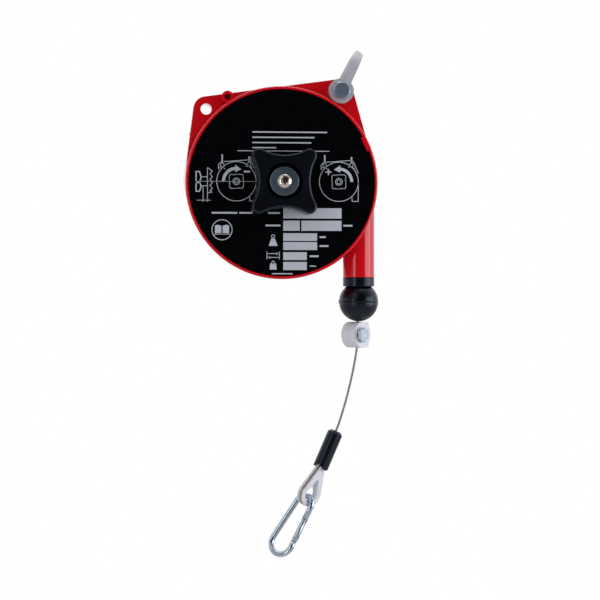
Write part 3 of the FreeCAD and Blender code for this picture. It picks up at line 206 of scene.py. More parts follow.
# Glass-filled nylon, moulded against polished steel: a wet-looking red skin with a faint orange peel.
RED_NYLON = Finish("Glossy moulded red nylon", "red_nylon", "D20014", "BE0010", Texture.MOULDED,
                   0.14, 0.9, 0.012, mottle=0.5, spread=0.03, coat=0.3)
# The same nylon in black, moulded against spark-eroded steel: it shows a soft blue-grey sheen at its edges.
BLACK_NYLON = Finish("Moulded black nylon", "black_nylon", "090B12", "05070C", Texture.MOULDED,
                     0.26, 0.6, 0.02, mottle=0.6, gloss_tint="C9D6F2")
# Natural nylon lets a little light through, so its edges look milky.
WHITE_NYLON = Finish("Natural white nylon", "white_nylon", "DEE0EA", "D0D3DF", Texture.MOULDED,
                     0.4, 0.6, 0.015, ior=1.53, subsurface=0.25)
DRUM_NYLON = Finish("Natural glass-filled nylon", "drum_nylon", "94948F", "85857F", Texture.MOULDED,
                    0.5, 0.5, 0.02, ior=1.53)
# Screen-printed polyester film: near black and smooth, with a very fine texture.
LABEL_FILM = Finish("Black printed polyester film", "label_film", "010204", "020305", Texture.FILM,
                    0.12, 0.25, 0.001, spread=0.02)
LABEL_INK = Finish("Silver-grey screen ink", "label_film", "B6BAC6", "A8ACB8", Texture.FILM,
                   0.5, 0.3, 0.004, spread=0.02)
# Bright zinc plate with its blue passivation: mirror-like, with soft milky patches.
ZINC = Finish("Bright zinc plate", "zinc_steel", "C6D2DF", "A9B7C7", Texture.PLATED,
              0.17, 3.0, 0.0004, mottle=0.6, spread=0.05, metallic=1.0)
# The washer's thicker blue passivation looks slate blue face on, and the bolt head's is milkier.
BLUE_ZINC = Finish("Blue passivated zinc plate", "zinc_steel", "A3B6CC", "8699B0", Texture.PLATED,
                   0.32, 0.6, 0.002, mottle=0.6, spread=0.06, metallic=1.0)
BOLT_ZINC = replace(BLUE_ZINC, name="Blue passivated zinc plate bolt head", metallic=0.85)
NICKEL = Finish("Nickel plate", "zinc_steel", "E2D8CD", "CABEB2", Texture.PLATED,
                0.17, 0.5, 0.003, mottle=0.4, spread=0.05, metallic=1.0)
# Pressure-cast alloy, tumbled: light grey, with a fine pebbled skin that breaks up its highlights.
CAST_ALLOY = Finish("Tumbled cast alloy", "cast_alloy", "D0D1D8", "AEAFB8", Texture.CAST,
                    0.38, 0.5, 0.14, mottle=0.9, spread=0.08, metallic=0.35)
SOFT_ALLOY = Finish("Pressed soft alloy", "soft_alloy", "B7B9BD", "A2A4A9", Texture.PLATED,
                    0.4, 0.6, 0.01, metallic=1.0)
SPRING_STEEL = Finish("Oiled spring steel", "spring_steel", "5C626C", "484E58", Texture.SPRUNG,
                      0.34, 0.8, 0.006, metallic=1.0)
BRONZE = Finish("Sintered bronze", "bronze", "A87C47", "8C6435", Texture.CAST,
                0.5, 0.2, 0.01, metallic=1.0)
# Stainless wire laid into strands: warm grey, with dark gaps that come from the shape.
STAINLESS = Finish("Drawn stainless wire", "stainless_rope", "C4BAB2", "A0978F", Texture.SPRUNG,
                   0.34, 0.5, 0.004, mottle=0.7, metallic=1.0)
# Moulded rubber: deep black with a broad satin gloss.
RUBBER = Finish("Moulded black rubber", "black_rubber", "030407", "020305", Texture.MOULDED,
                0.27, 0.5, 0.005, spread=0.03, gloss_tint="C9D6F2")


# ---- meshes and pieces
JOIN_WITHIN = 0.5e-6
FLAT_WITHIN = math.radians(0.6)
LEAST_CREASE = 32.0
ROUNDING_STEPS = 3


def as_object(data: bpy.types.ID, name: str) -> Piece:
    """Put a mesh, a curve, a lamp or a camera into the scene.

    Args:
        data: what it shows.
        name: the new object's name.

    Returns:
        The object, at the origin.
    """
    thing = bpy.data.objects.new(name, data)
    bpy.context.scene.collection.objects.link(thing)
    return thing


def meshed(shape: bmesh.types.BMesh, name: str, place: Matrix | None = None) -> Piece:
    """Put a finished shape into the scene, with its sharp edges marked.

    Args:
        shape: the shape, which is freed.
        name: the new object's name.
        place: the matrix that moves it into place.

    Returns:
        The object, at the origin.
    """
    mesh = bpy.data.meshes.new(name)
    shape.to_mesh(mesh)
    shape.free()
    mesh.set_sharp_from_angle(angle=SHARP_ANGLE)
    if place:
        mesh.transform(place)
    return as_object(mesh, name)


def settled(thing: Piece) -> Piece:
    """Turn an object's modifiers into its mesh.

    Args:
        thing: the object.

    Returns:
        The same object, with no modifier left.
    """
    evaluated = thing.evaluated_get(bpy.context.evaluated_depsgraph_get())
    mesh = bpy.data.meshes.new_from_object(evaluated)
    thing.modifiers.clear()
    thing.data = mesh
    return thing


def dressed(thing: Piece, finish: Finish, body: str, *nodes: str) -> Piece:
    """Give a piece its finish and its body.

    Args:
        thing: the piece, in place.
        finish: its finish.
        body: the body that it rides on.
        nodes: the nodes that it stands for.

    Returns:
        The piece.
    """
    thing.data.materials.clear()
    thing.data.materials.append(finish.material())
    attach(thing, body)
    if nodes:
        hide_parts(*nodes)
    LOG.info("piece %s on %s, %d faces", thing.name, body, len(thing.data.polygons))
    return thing


def painted(node: str, finish: Finish) -> None:
    """Give a node that stays as it is a finish.

    Args:
        node: the node's name.
        finish: its finish.
    """
    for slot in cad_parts[node].material_slots:
        slot.material = finish.material()
    LOG.info("node %s keeps its shape", node)


def softened(node: str, finish: Finish, body: str, round_mm: float = 0.0, crease: float = 28.0,
             where: Callable[[Vector], bool] | None = None,
             bend: Callable[[Vector], Vector] | None = None) -> Piece:
    """Make a piece from a node's own shape, with joined faces and softened edges.

    Args:
        node: the node to copy and to stand for.
        finish: the piece's finish.
        body: the body that it rides on.
        round_mm: the width of the softening along sharp edges, or nought for none.
        crease: the angle, in degrees, from which an edge counts as sharp.
        where: tells for the middle of a sharp edge, in metres, whether it is softened.
        bend: gives a point's new place, both in metres.

    Returns:
        The piece.
    """
    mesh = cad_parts[node].data.copy()
    shape = bmesh.new()
    shape.from_mesh(mesh)
    bmesh.ops.remove_doubles(shape, verts=shape.verts, dist=JOIN_WITHIN)
    bmesh.ops.dissolve_degenerate(shape, edges=shape.edges, dist=2 * JOIN_WITHIN)
    if round_mm:
        bmesh.ops.dissolve_limit(shape, angle_limit=FLAT_WITHIN, verts=shape.verts, edges=shape.edges)
        sharp = [edge for edge in shape.edges if len(edge.link_faces) == 2
                 and edge.calc_face_angle() > math.radians(crease)
                 and (where is None or where((edge.verts[0].co + edge.verts[1].co) / 2))]
        bmesh.ops.bevel(shape, geom=sharp, offset=round_mm * MM, offset_type="OFFSET", segments=ROUNDING_STEPS,
                        profile=0.5, affect="EDGES", clamp_overlap=True, loop_slide=True)
    for vertex in shape.verts if bend else ():
        vertex.co = bend(vertex.co)
    for face in shape.faces:
        face.smooth = True
    shape.to_mesh(mesh)
    shape.free()
    mesh.set_sharp_from_angle(angle=math.radians(max(crease, LEAST_CREASE)))
    thing = as_object(mesh, f"{node}_surface")
    if round_mm:
        weighted = thing.modifiers.new("flat faces stay flat", "WEIGHTED_NORMAL")
        weighted.keep_sharp = True
    return dressed(settled(thing), finish, body, node)


def merged(name: str, things: Sequence[Piece]) -> Piece:
    """Put several shapes into one piece.

    Args:
        name: the new object's name.
        things: the shapes, all at the origin; they are removed.

    Returns:
        The piece.
    """
    shape = bmesh.new()
    for thing in things:
        shape.from_mesh(thing.data)
        bpy.data.objects.remove(thing)
    return meshed(shape, name)


def carved(thing: Piece, tool: Piece) -> Piece:
    """Cut a tool's shape out of a piece.

    Args:
        thing: the piece.
        tool: the closed shape to cut out; it is removed.

    Returns:
        The piece.
    """
    cutter = thing.modifiers.new("recess", "BOOLEAN")
    cutter.operation = "DIFFERENCE"
    cutter.solver = "EXACT"
    cutter.object = tool
    settled(thing)
    bpy.data.objects.remove(tool)
    thing.data.set_sharp_from_angle(angle=SHARP_ANGLE)
    return thing


@dataclass(frozen=True)
class RoundProfile:
    """A closed shape turned about an axis, from (radius, height) pairs in millimetres, the lowest first.

    steps is the number of faces that go round, and bored tells that a bore joins the last point to the first.
    """

    points: Sequence[Point]
    steps: int = 72
    bored: bool = False

    def object(self, name: str, place: Vector, turn: Matrix | None = None) -> Piece:
        """Turn the profile about Z and place it.

        Args:
            name: the object's name.
            place: where height nought goes, in metres.
            turn: how the axis is turned from Z.

        Returns:
            The object, at the origin.
        """
        shape = bmesh.new()
        rings = []
        for radius, height in self.points:
            if radius < 1e-6:
                rings.append([shape.verts.new((0, 0, height * MM))])
                continue
            angles = [math.tau * step / self.steps for step in range(self.steps)]
            rings.append([shape.verts.new((radius * MM * math.cos(angle), radius * MM * math.sin(angle),
                                           height * MM)) for angle in angles])
        for low, high in zip(rings, rings[1:] + rings[:1] if self.bored else rings[1:]):
            for step in range(self.steps):
                following = (step + 1) % self.steps
                corners = [low[step % len(low)], low[following % len(low)],
                           high[following % len(high)], high[step % len(high)]]
                face = shape.faces.new(list(dict.fromkeys(corners)))
                face.smooth = True
        bmesh.ops.recalc_face_normals(shape, faces=shape.faces)
        return meshed(shape, name, Matrix.Translation(place) @ (turn.to_4x4() if turn else Matrix.Identity(4)))


@dataclass
class FlatInk:
    """Flat printed shapes on the label, in millimetres from the drum's axis.

    A corner sharper than turn_back isn't mitred, and mitre_share keeps the other mitres short.
    """

    shape: bmesh.types.BMesh = field(default_factory=bmesh.new)
    turn_back: float = 0.2
    mitre_share: float = 0.5
    ring_steps: int = 48

    def patch(self, corners: Iterable[Point]) -> None:
        """Print one filled outline from its corners in order."""
        self.shape.faces.new([self.shape.verts.new((x, 0, z)) for x, z in corners])

    def bar(self, left: float, bottom: float, right: float, top: float) -> None:
        """Print an upright rectangle from its four sides."""
        self.patch([(left, bottom), (right, bottom), (right, top), (left, top)])

    def line(self, points: Sequence[Point], width: float, closed: bool = False) -> None:
        """Print a line of one width along points.

        Args:
            points: the points of its middle.
            width: its width.
            closed: whether the last point joins the first.
        """
        count = len(points)
        pairs = []
        for number, (x, z) in enumerate(points):
            before = points[number - 1] if number or closed else points[number]
            after = points[(number + 1) % count] if number + 1 < count or closed else points[number]
            one = Vector((x - before[0], z - before[1]))
            two = Vector((after[0] - x, after[1] - z))
            one = one.normalized() if one.length else two.normalized()
            two = two.normalized() if two.length else one
            along = (one + two).normalized() if (one + two).length > self.turn_back else one
            side = Vector((-along.y, along.x)) * width / 2 / max(along.dot(one), self.mitre_share)
            pairs.append([self.shape.verts.new((x + side.x, 0, z + side.y)),
                          self.shape.verts.new((x - side.x, 0, z - side.y))])
        ends = list(zip(pairs, pairs[1:])) + ([(pairs[-1], pairs[0])] if closed else [])
        for (left, right), (far_left, far_right) in ends:
            self.shape.faces.new([left, right, far_right, far_left])

    def ring(self, centre: Point, radius: float, width: float) -> None:
        """Print a round line of a middle radius and a width."""
        self.line(arc_points(centre, radius, 0, 360, self.ring_steps)[:-1], width, closed=True)

    def object(self, name: str, axis: Vector, back: float, thickness: float) -> Piece:
        """Give all that was printed one thickness.

        Args:
            name: the object's name.
            axis: the drum's axis, in metres.
            back: the depth of the label's face, in metres.
            thickness: the ink's thickness, in metres.

        Returns:
            The object.
        """
        bmesh.ops.triangulate(self.shape, faces=[face for face in self.shape.faces if len(face.verts) > 4])
        made = bmesh.ops.extrude_face_region(self.shape, geom=list(self.shape.faces), use_keep_orig=True)
        front = [item for item in made["geom"] if isinstance(item, bmesh.types.BMVert)]
        bmesh.ops.translate(self.shape, verts=front, vec=(0, -thickness / MM, 0))
        bmesh.ops.recalc_face_normals(self.shape, faces=self.shape.faces)
        return meshed(self.shape, name, Matrix.Translation((axis.x, back, axis.z)) @ Matrix.Scale(MM, 4))


def arc_points(centre: Point, radius: float, start: float, end: float, steps: int) -> list[Point]:
    """Give the points of an arc from one angle to another, in degrees from the right, both ends among them."""
    angles = [math.radians(start + (end - start) * step / steps) for step in range(steps + 1)]
    return [(centre[0] + radius * math.cos(angle), centre[1] + radius * math.sin(angle)) for angle in angles]


# ---- geometry node trees
def opened_tree(name: str, inputs: dict[str, str]) -> NodeTree:
    """Start a geometry node tree with named inputs.

    Args:
        name: the tree's name.
        inputs: input name to kind of value, such as "Float".

    Returns:
        The tree, which still has no nodes.
    """
    tree = bpy.data.node_groups.new(name, "GeometryNodeTree")
    for label, kind in inputs.items():
        tree.interface.new_socket(label, in_out="INPUT", socket_type=f"NodeSocket{kind}")
    tree.interface.new_socket("Geometry", in_out="OUTPUT", socket_type="NodeSocketGeometry")
    return tree


def closed_tree(tree: NodeTree, shape: bpy.types.NodeSocket,
                material: bpy.types.NodeSocket) -> NodeTree:
    """Make the shapes real, coat them and give them out.

    Args:
        tree: the tree.
        shape: the output socket of its shapes.
        material: the output socket of their material.

    Returns:
        The tree.
    """
    real = add_node(tree, "GeometryNodeRealizeInstances", sockets={"Geometry": shape})[0]
    coated = add_node(tree, "GeometryNodeSetMaterial", sockets={"Geometry": real, "Material": material})[0]
    add_node(tree, "NodeGroupOutput", sockets={"Geometry": coated})
    return tree


# ---- wire rope
@dataclass
class StrandedRope:
    """A wire rope of twisted strands, made along a curve by geometry nodes. Sizes are in metres."""

    radius: float = 0.8 * MM
    strands: int = 6
    lay: float = 9.0 * MM
    step: float = 0.5 * MM
    sides: int = 8

    def tree(self) -> NodeTree:
        """Build the node tree that twists the strands.

        Returns:
            The tree, with its sizes as named inputs.
        """
        tree = bpy.data.node_groups.get("Twisted strands")
        if tree:
            return tree
        tree = opened_tree("Twisted strands", {
            "Route": "Object", "Strand radius": "Float", "Lay radius": "Float", "Strands": "Int", "Sides": "Int",
            "Lay length": "Float", "Step": "Float", "Material": "Material",
        })
        given = add_node(tree, "NodeGroupInput")
        route = add_node(tree, "GeometryNodeObjectInfo", sockets={"Object": given["Route"]})["Geometry"]
        fine = add_node(tree, "GeometryNodeResampleCurve", {"mode": "LENGTH"}, {
            "Curve": route, "Length": given["Step"],
        })[0]
        travelled = add_node(tree, "GeometryNodeSplineParameter")["Length"]
        turns = add_node(tree, "ShaderNodeMath", {"operation": "DIVIDE"}, {
            0: travelled, 1: given["Lay length"],
        })[0]
        twist = add_node(tree, "ShaderNodeMath", {"operation": "MULTIPLY"}, {0: turns, 1: math.tau})[0]
        twisted = add_node(tree, "GeometryNodeSetCurveTilt", sockets={"Curve": fine, "Tilt": twist})[0]
        ring = add_node(tree, "GeometryNodeMeshCircle", sockets={
            "Vertices": given["Strands"], "Radius": given["Lay radius"],
        })[0]
        strand = add_node(tree, "GeometryNodeCurvePrimitiveCircle", sockets={
            "Resolution": given["Sides"], "Radius": given["Strand radius"],
        })[0]
        bundle = add_node(tree, "GeometryNodeInstanceOnPoints", sockets={
            "Points": ring, "Instance": strand,
        })[0]
        section = add_node(tree, "GeometryNodeRealizeInstances", sockets={"Geometry": bundle})[0]
        rope = add_node(tree, "GeometryNodeCurveToMesh", sockets={
            "Curve": twisted, "Profile Curve": section, "Fill Caps": True,
        })[0]
        smooth = add_node(tree, "GeometryNodeSetShadeSmooth", sockets={"Geometry": rope})[0]
        return closed_tree(tree, smooth, given["Material"])

    def along(self, name: str, route: Piece) -> Piece:
        """Lay the rope along a curve.

        Args:
            name: the new object's name.
            route: the curve object that it follows.

        Returns:
            The rope as a mesh object.
        """
        strand = self.radius * math.sin(math.pi / self.strands) / (1 + math.sin(math.pi / self.strands))
        return grown(name, self.tree(), {
            "Route": route, "Strand radius": strand, "Lay radius": self.radius - strand, "Strands": self.strands,
            "Sides": self.sides, "Lay length": self.lay, "Step": self.step, "Material": STAINLESS.material(),
        })

    def through(self, name: str, points: Sequence[Vector]) -> Piece:
        """Lay the rope smoothly past points.

        Args:
            name: the new object's name.
            points: the route's control points, in metres.

        Returns:
            The rope as a mesh object.
        """
        line = smooth_route(f"{name}_route", points)
        rope = self.along(name, line)
        bpy.data.objects.remove(line)
        return rope


def grown(name: str, tree: NodeTree, values: dict) -> Piece:
    """Make a mesh with a geometry node tree.

    Args:
        name: the new object's name.
        tree: the tree, which makes the whole mesh.
        values: input name to value.

    Returns:
        The mesh object, with no modifier left.
    """
    thing = as_object(bpy.data.meshes.new(name), name)
    modifier = thing.modifiers.new(tree.name, "NODES")
    modifier.node_group = tree
    for socket in tree.interface.items_tree:
        if socket.item_type == "SOCKET" and socket.in_out == "INPUT" and socket.name in values:
            modifier[socket.identifier] = values[socket.name]
    return settled(thing)


def smooth_route(name: str, points: Sequence[Vector]) -> Piece:
    """Make a smooth open curve.

    Args:
        name: the curve's name.
        points: its control points, in metres.

    Returns:
        The curve object.
    """
    data = bpy.data.curves.new(name, "CURVE")
    data.dimensions = "3D"
    data.resolution_u = 12
    spline = data.splines.new("NURBS")
    spline.points.add(len(points) - 1)
    for control, place in zip(spline.points, points):
        control.co = (*place, 1)
    spline.order_u = 3
    spline.use_endpoint_u = True
    return as_object(data, name)


def read_route(route: Piece) -> list[Vector]:
    """Read the points of a smooth route.

    Args:
        route: the curve object.

    Returns:
        Its points from start to end, in metres.
    """
    evaluated = route.evaluated_get(bpy.context.evaluated_depsgraph_get())
    line = bpy.data.meshes.new_from_object(evaluated)
    points = [vertex.co.copy() for vertex in line.vertices]
    bpy.data.meshes.remove(line)
    return points


# ---- screws
@dataclass(frozen=True)
class CrossScrew:
    """A pan-head screw with a cross recess, in millimetres, its head's seat at height nought."""

    head_radius: float
    head_height: float
    shank_radius: float
    shank_length: float
    recess_reach: float
    recess_width: float
    rim: float = 0.45
    blade_above: float = 0.5
    blade_top: float = 1.1
    blade_tip: Point = (0.15, 0.45)

    def blade(self, turned: bool) -> Piece:
        """Make one tapered blade of the driver.

        Args:
            turned: whether it lies across the other blade.

        Returns:
            The closed blade.
        """
        corners = []
        tip_height, tip_share = self.blade_tip
        for height, share in ((self.head_height + self.blade_above, self.blade_top),
                              (self.head_height * tip_height, tip_share)):
            along, across = self.recess_reach * share, self.recess_width / 2 * share
            if turned:
                along, across = across, along
            corners += [(-along, -across, height), (along, -across, height), (along, across, height),
                        (-along, across, height)]
        faces = [(0, 1, 2, 3), (7, 6, 5, 4), (0, 4, 5, 1), (1, 5, 6, 2), (2, 6, 7, 3), (3, 7, 4, 0)]
        mesh = bpy.data.meshes.new("blade")
        mesh.from_pydata([tuple(value * MM for value in corner) for corner in corners], [], faces)
        return as_object(mesh, "blade")

    def object(self, name: str, place: Vector, turn: Matrix) -> Piece:
        """Turn the screw, cut its recess and place it.

        Args:
            name: the object's name.
            place: the middle of the head's seat, in metres.
            turn: how the screw is turned from upright.

        Returns:
            The screw.
        """
        dome = [(self.head_radius * math.cos(math.radians(lean)),
                 self.rim + (self.head_height - self.rim) * math.sin(math.radians(lean)))
                for lean in range(0, 90, 9)]
        profile = [(0, -self.shank_length), (self.shank_radius, -self.shank_length), (self.shank_radius, 0),
                   (self.head_radius, 0), *dome, (0, self.head_height)]
        screw = RoundProfile(profile, 48).object(name, Vector((0, 0, 0)))
        for turned in (False, True):
            carved(screw, self.blade(turned))
        screw.data.transform(Matrix.Translation(place) @ turn.to_4x4())
        return screw


@dataclass
class ScrewSet:
    """Equal screws on given points, placed by geometry nodes."""

    screw: CrossScrew
    turn: Matrix

    def tree(self) -> NodeTree:
        """Build the node tree that puts a screw on every point.

        Returns:
            The tree, with its parts as named inputs.
        """
        tree = opened_tree("Screws on points", {
            "Places": "Object", "Screw": "Object", "Size": "Float", "Material": "Material",
        })
        given = add_node(tree, "NodeGroupInput")
        places, screw = [add_node(tree, "GeometryNodeObjectInfo", sockets={"Object": given[name]})["Geometry"]
                         for name in ("Places", "Screw")]
        size = add_node(tree, "ShaderNodeCombineXYZ", sockets={axis: given["Size"] for axis in "XYZ"})[0]
        copies = add_node(tree, "GeometryNodeInstanceOnPoints", sockets={
            "Points": places, "Instance": screw, "Scale": size,
        })[0]
        return closed_tree(tree, copies, given["Material"])

    def on(self, name: str, points: Sequence[Vector], finish: Finish) -> Piece:
        """Put a screw on each point.

        Args:
            name: the new object's name.
            points: the places, in metres.
            finish: the screws' finish.

        Returns:
            All the screws as one mesh object.
        """
        mesh = bpy.data.meshes.new("screw places")
        mesh.from_pydata([tuple(point) for point in points], [], [])
        places = as_object(mesh, "screw places")
        screw = self.screw.object("one screw", Vector((0, 0, 0)), self.turn)
        made = grown(name, self.tree(), {"Places": places, "Screw": screw, "Size": 1.0,
                                         "Material": finish.material()})
        bpy.data.objects.remove(places)
        bpy.data.objects.remove(screw)
        return made


TOWARDS_FRONT = Matrix.Rotation(math.radians(90), 3, "X")
TOWARDS_BACK = Matrix.Rotation(math.radians(-90), 3, "X")


# ---- sub-assemblies
@dataclass(frozen=True)
class Drawing:
    """A small drawing about its own centre, in millimetres, +x right and +z up.

    A line is (width, closed, points), a ring and a dot are (x, z, radius, width), where a dot has no width, a bar
    is (left, bottom, right, top) and a patch is its corners.
    """

    lines: tuple = ()
    rings: tuple = ()
    bars: tuple = ()
    patches: tuple = ()

    def printed(self, ink: FlatInk, centre: Point = (0.0, 0.0), mirrored: bool = False) -> None:
        """Print the drawing.

        Args:
            ink: what it is printed with.
            centre: where its centre goes.
            mirrored: whether left and right change places.
        """
        (middle_x, middle_z), side = centre, -1 if mirrored else 1
        for width, closed, points in self.lines:
            ink.line([(middle_x + side * x, middle_z + z) for x, z in points], width, closed)
        for x, z, radius, width in self.rings:
            place = (middle_x + side * x, middle_z + z)
            if width:
                ink.ring(place, radius, width)
            else:
                ink.patch(arc_points(place, radius, 0, 330, 11))
        for left, bottom, right, top in self.bars:
            ink.bar(middle_x + side * left, middle_z + bottom, middle_x + side * right, middle_z + top)
        for corners in self.patches:
            ink.patch([(middle_x + side * x, middle_z + z) for x, z in corners])


HAIR, FINE, BOLD = 0.42, 0.336, 0.672
KNOB_LOBE = ((-3.52, 4.4), (3.52, 4.4), (4.4, 3.52), (3.6, 0.0))
KNOB_OUTLINE = tuple((across * cosine + out * sine, out * cosine - across * sine)
                     for cosine, sine in ((1, 0), (0, 1), (-1, 0), (0, -1)) for across, out in KNOB_LOBE)
# The balancer from the front: round housing, lug and eye with their hooks, outlet and knob.
BALANCER = Drawing(
    lines=((HAIR, False, ((-11.1, 7.4), (-11.3, 10.2), (-9.6, 12.1), (7.2, 13.4), (9.3, 12.4), (12.2, 5.5))),
           (FINE, False, ((-11.1, 8.6), (-8.9, 9.1), (-7.0, 7.6))),
           (FINE, False, ((5.8, 9.2), (8.0, 9.7), (9.9, 8.2))),
           (HAIR, False, ((8.3, -9.2), (8.3, -12.2), (12.2, -12.2), (12.3, -0.4))),
           (HAIR, True, KNOB_OUTLINE)),
    rings=((0, 0, 12.3, HAIR), (-8.9, 10.2, 1.1, FINE), (8.0, 10.8, 1.1, FINE), (0, 0, 2.1, HAIR),
           (0, 0, 1.2, FINE)),
    bars=((-9.35, 11.6, -8.45, 16.8), (7.55, 12.2, 8.45, 15.6)))
# A curved arrow over the knob, which turns to the right.
ARROW_END = arc_points((0, 0), 8.1, 96, 96, 1)[0]
ARROW = Drawing(
    lines=((1.85, False, tuple(arc_points((0, 0), 8.1, 180, 96, 16))),),
    patches=(((ARROW_END[0], ARROW_END[1] - 2.3), (ARROW_END[0] + 4.0, ARROW_END[1] - 0.5),
              (ARROW_END[0], ARROW_END[1] + 2.3)),))
MINUS = Drawing(bars=((4.65, 5.48, 8.55, 6.72),))
PLUS = Drawing(bars=((-8.55, 5.68, -4.65, 6.52), (-7.02, 6.52, -6.18, 8.05), (-7.02, 4.15, -6.18, 5.68)))
# The knob from the side, drawn off its teeth.
SIDE_VIEW = Drawing(
    lines=((HAIR, False, ((6.5, 9.2), (9.6, 7.0), (8.1, 5.4), (9.6, 3.4), (8.1, 1.8), (9.6, -0.2), (8.1, -1.8),
                          (9.6, -3.8), (8.1, -5.4), (9.4, -6.2), (6.5, -6.6))),
           (0.21, False, ((0, 0.6), (38.0, 0.6))),
           (BOLD, True, ((-0.6, -0.2), (1.6, -0.2), (2.6, 3.2), (1.6, 6.6), (-0.6, 6.6))),
           (BOLD, True, ((-0.6, -5.6), (1.6, -5.6), (2.6, -2.6), (1.6, 0.4), (-0.6, 0.4))),
           (HAIR, False, ((2.6, 3.4), (6.3, 3.4))), (HAIR, False, ((2.6, -2.2), (6.3, -2.2))),
           (0.252, False, ((-0.4, -11.2), (8.6, -11.2)))),
    rings=((3.8, -11.2, 0.75, 0), (6.5, -11.2, 0.75, 0)),
    bars=((3.6, -11.4, 4.02, -2.2), (6.3, -11.4, 6.72, 9.0)))
# An open book, which asks for the instructions to be read.
PAGE = ((0.4, -1.9), (4.4, -2.3), (4.4, 2.7), (2.6, 3.1), (0.4, 2.5))
BOOK = Drawing(lines=((FINE, False, ((-4.9, -2.9), (0, -2.6), (4.9, -2.9))),), rings=((0, 0, 6.3, 0.504),),
               patches=(PAGE, tuple((-x, z) for x, z in PAGE)))
# The load, the stroke and the weight.
RANGES = Drawing(
    lines=((HAIR, False, ((-3.3, -44.4), (3.3, -44.4))), (HAIR, False, ((-3.3, -46.8), (3.3, -46.8)))),
    rings=((0, -33.6, 1.0, HAIR), (0, -49.9, 0.8, HAIR)),
    bars=((-4.11, -48.0, -3.69, -43.2), (3.69, -48.0, 4.11, -43.2)),
    patches=(((-2.8, -39.6), (2.8, -39.6), (1.2, -35.0), (-1.2, -35.0)),
             ((3.6, -44.4), (1.9, -43.5), (1.9, -45.3)), ((-3.6, -46.8), (-1.9, -45.9), (-1.9, -47.7)),
             ((-2.2, -54.4), (2.2, -54.4), (1.9, -50.6), (0.9, -50.4), (-0.9, -50.4), (-1.9, -50.6))))


@dataclass
class Label:
    """The printed label on the front cover. Sizes are in millimetres from the drum's axis, +x right and +z up.

    A rule is (left, height, width, half its thickness), and a field is (left, bottom, right, top).
    """

    thickness: float = 0.03
    loosen: Point = (-28.6, 0.7)
    tighten: Point = (35.8, 0.7)
    signs: tuple = ((SIDE_VIEW, (-53.2, 0.0)), (BOOK, (-37.6, -29.6)), (RANGES, (-5.6, 0.0)))
    fields: tuple = ((0.75, -22.4, 37.45, -15.9), (0.75, -30.1, 11.15, -23.7), (12.15, -30.1, 37.45, -23.7),
                     (0.75, -36.4, 22.05, -31.6), (0.75, -42.1, 22.05, -37.1), (0.75, -48.4, 15.55, -43.5),
                     (0.75, -54.7, 15.55, -49.6))
    rules: tuple = ((-8.9, -19.0, 7.6, 0.55), (-10.4, -26.8, 9.4, 0.55), (-44.0, -19.0, 16.0, 0.55),
                    (-26.8, -19.0, 8.6, 0.55), (38.6, -26.8, 5.8, 0.55), (23.6, -34.0, 3.9, 0.55),
                    (23.6, -39.6, 5.6, 0.55), (17.4, -46.0, 5.6, 0.55), (17.4, -52.2, 3.9, 0.35),
                    (-6.4, -57.0, 13.0, 0.35), (-18.6, 31.6, 47.0, 0.42), (-18.6, 28.3, 39.0, 0.42),
                    (-18.6, 25.0, 37.0, 0.42), (-18.6, 21.8, 15.0, 0.42), (-27.9, 19.8, 57.5, 0.25))
    radius: float = 58.6
    hole_radius: float = 14.5
    film_thickness: float = 0.4
    steps: int = 360
    notch_angle: float = 25.0
    notch_half_angle: float = 4.9
    notch_depth: float = 1.3
    ink: FlatInk = field(default_factory=FlatInk)

    def film(self, axis: Vector) -> Piece:
        """Cut the film: a ring with a shallow notch that keeps it from turning.

        Args:
            axis: a point on the drum's axis, in metres.

        Returns:
            The film.
        """
        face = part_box("front_label")[0].y
        back = face + self.film_thickness * MM
        shape = bmesh.new()
        loops = []
        for depth, hole in ((face, False), (back, False), (back, True), (face, True)):
            loop = []
            for step in range(self.steps):
                angle = math.tau * step / self.steps
                lean = (math.degrees(angle) - self.notch_angle + 180) % 360 - 180
                reach = self.radius - (self.notch_depth if abs(lean) < self.notch_half_angle else 0)
                size = (self.hole_radius if hole else reach) * MM
                loop.append(shape.verts.new((axis.x + size * math.cos(angle), depth,
                                             axis.z + size * math.sin(angle))))
            loops.append(loop)
        for one, two in zip(loops, loops[1:] + loops[:1]):
            for step in range(self.steps):
                following = (step + 1) % self.steps
                shape.faces.new([one[step], one[following], two[following], two[step]])
        bmesh.ops.recalc_face_normals(shape, faces=shape.faces)
        return meshed(shape, "label_film")

    def build(self, axis: Vector) -> Piece:
        """Print the whole label.

        Args:
            axis: a point on the drum's axis, in metres.

        Returns:
            The printed piece.
        """
        for centre, sign, mirrored in ((self.loosen, MINUS, False), (self.tighten, PLUS, True)):
            BALANCER.printed(self.ink, centre)
            ARROW.printed(self.ink, centre, mirrored)
            sign.printed(self.ink, centre)
        for drawing, centre in self.signs:
            drawing.printed(self.ink, centre)
        bars = tuple((left, height - half, left + width, height + half) for left, height, width, half in self.rules)
        Drawing(bars=self.fields + bars).printed(self.ink)
        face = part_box("front_label")[0].y
        return self.ink.object("label_print", axis, face, self.thickness * MM)
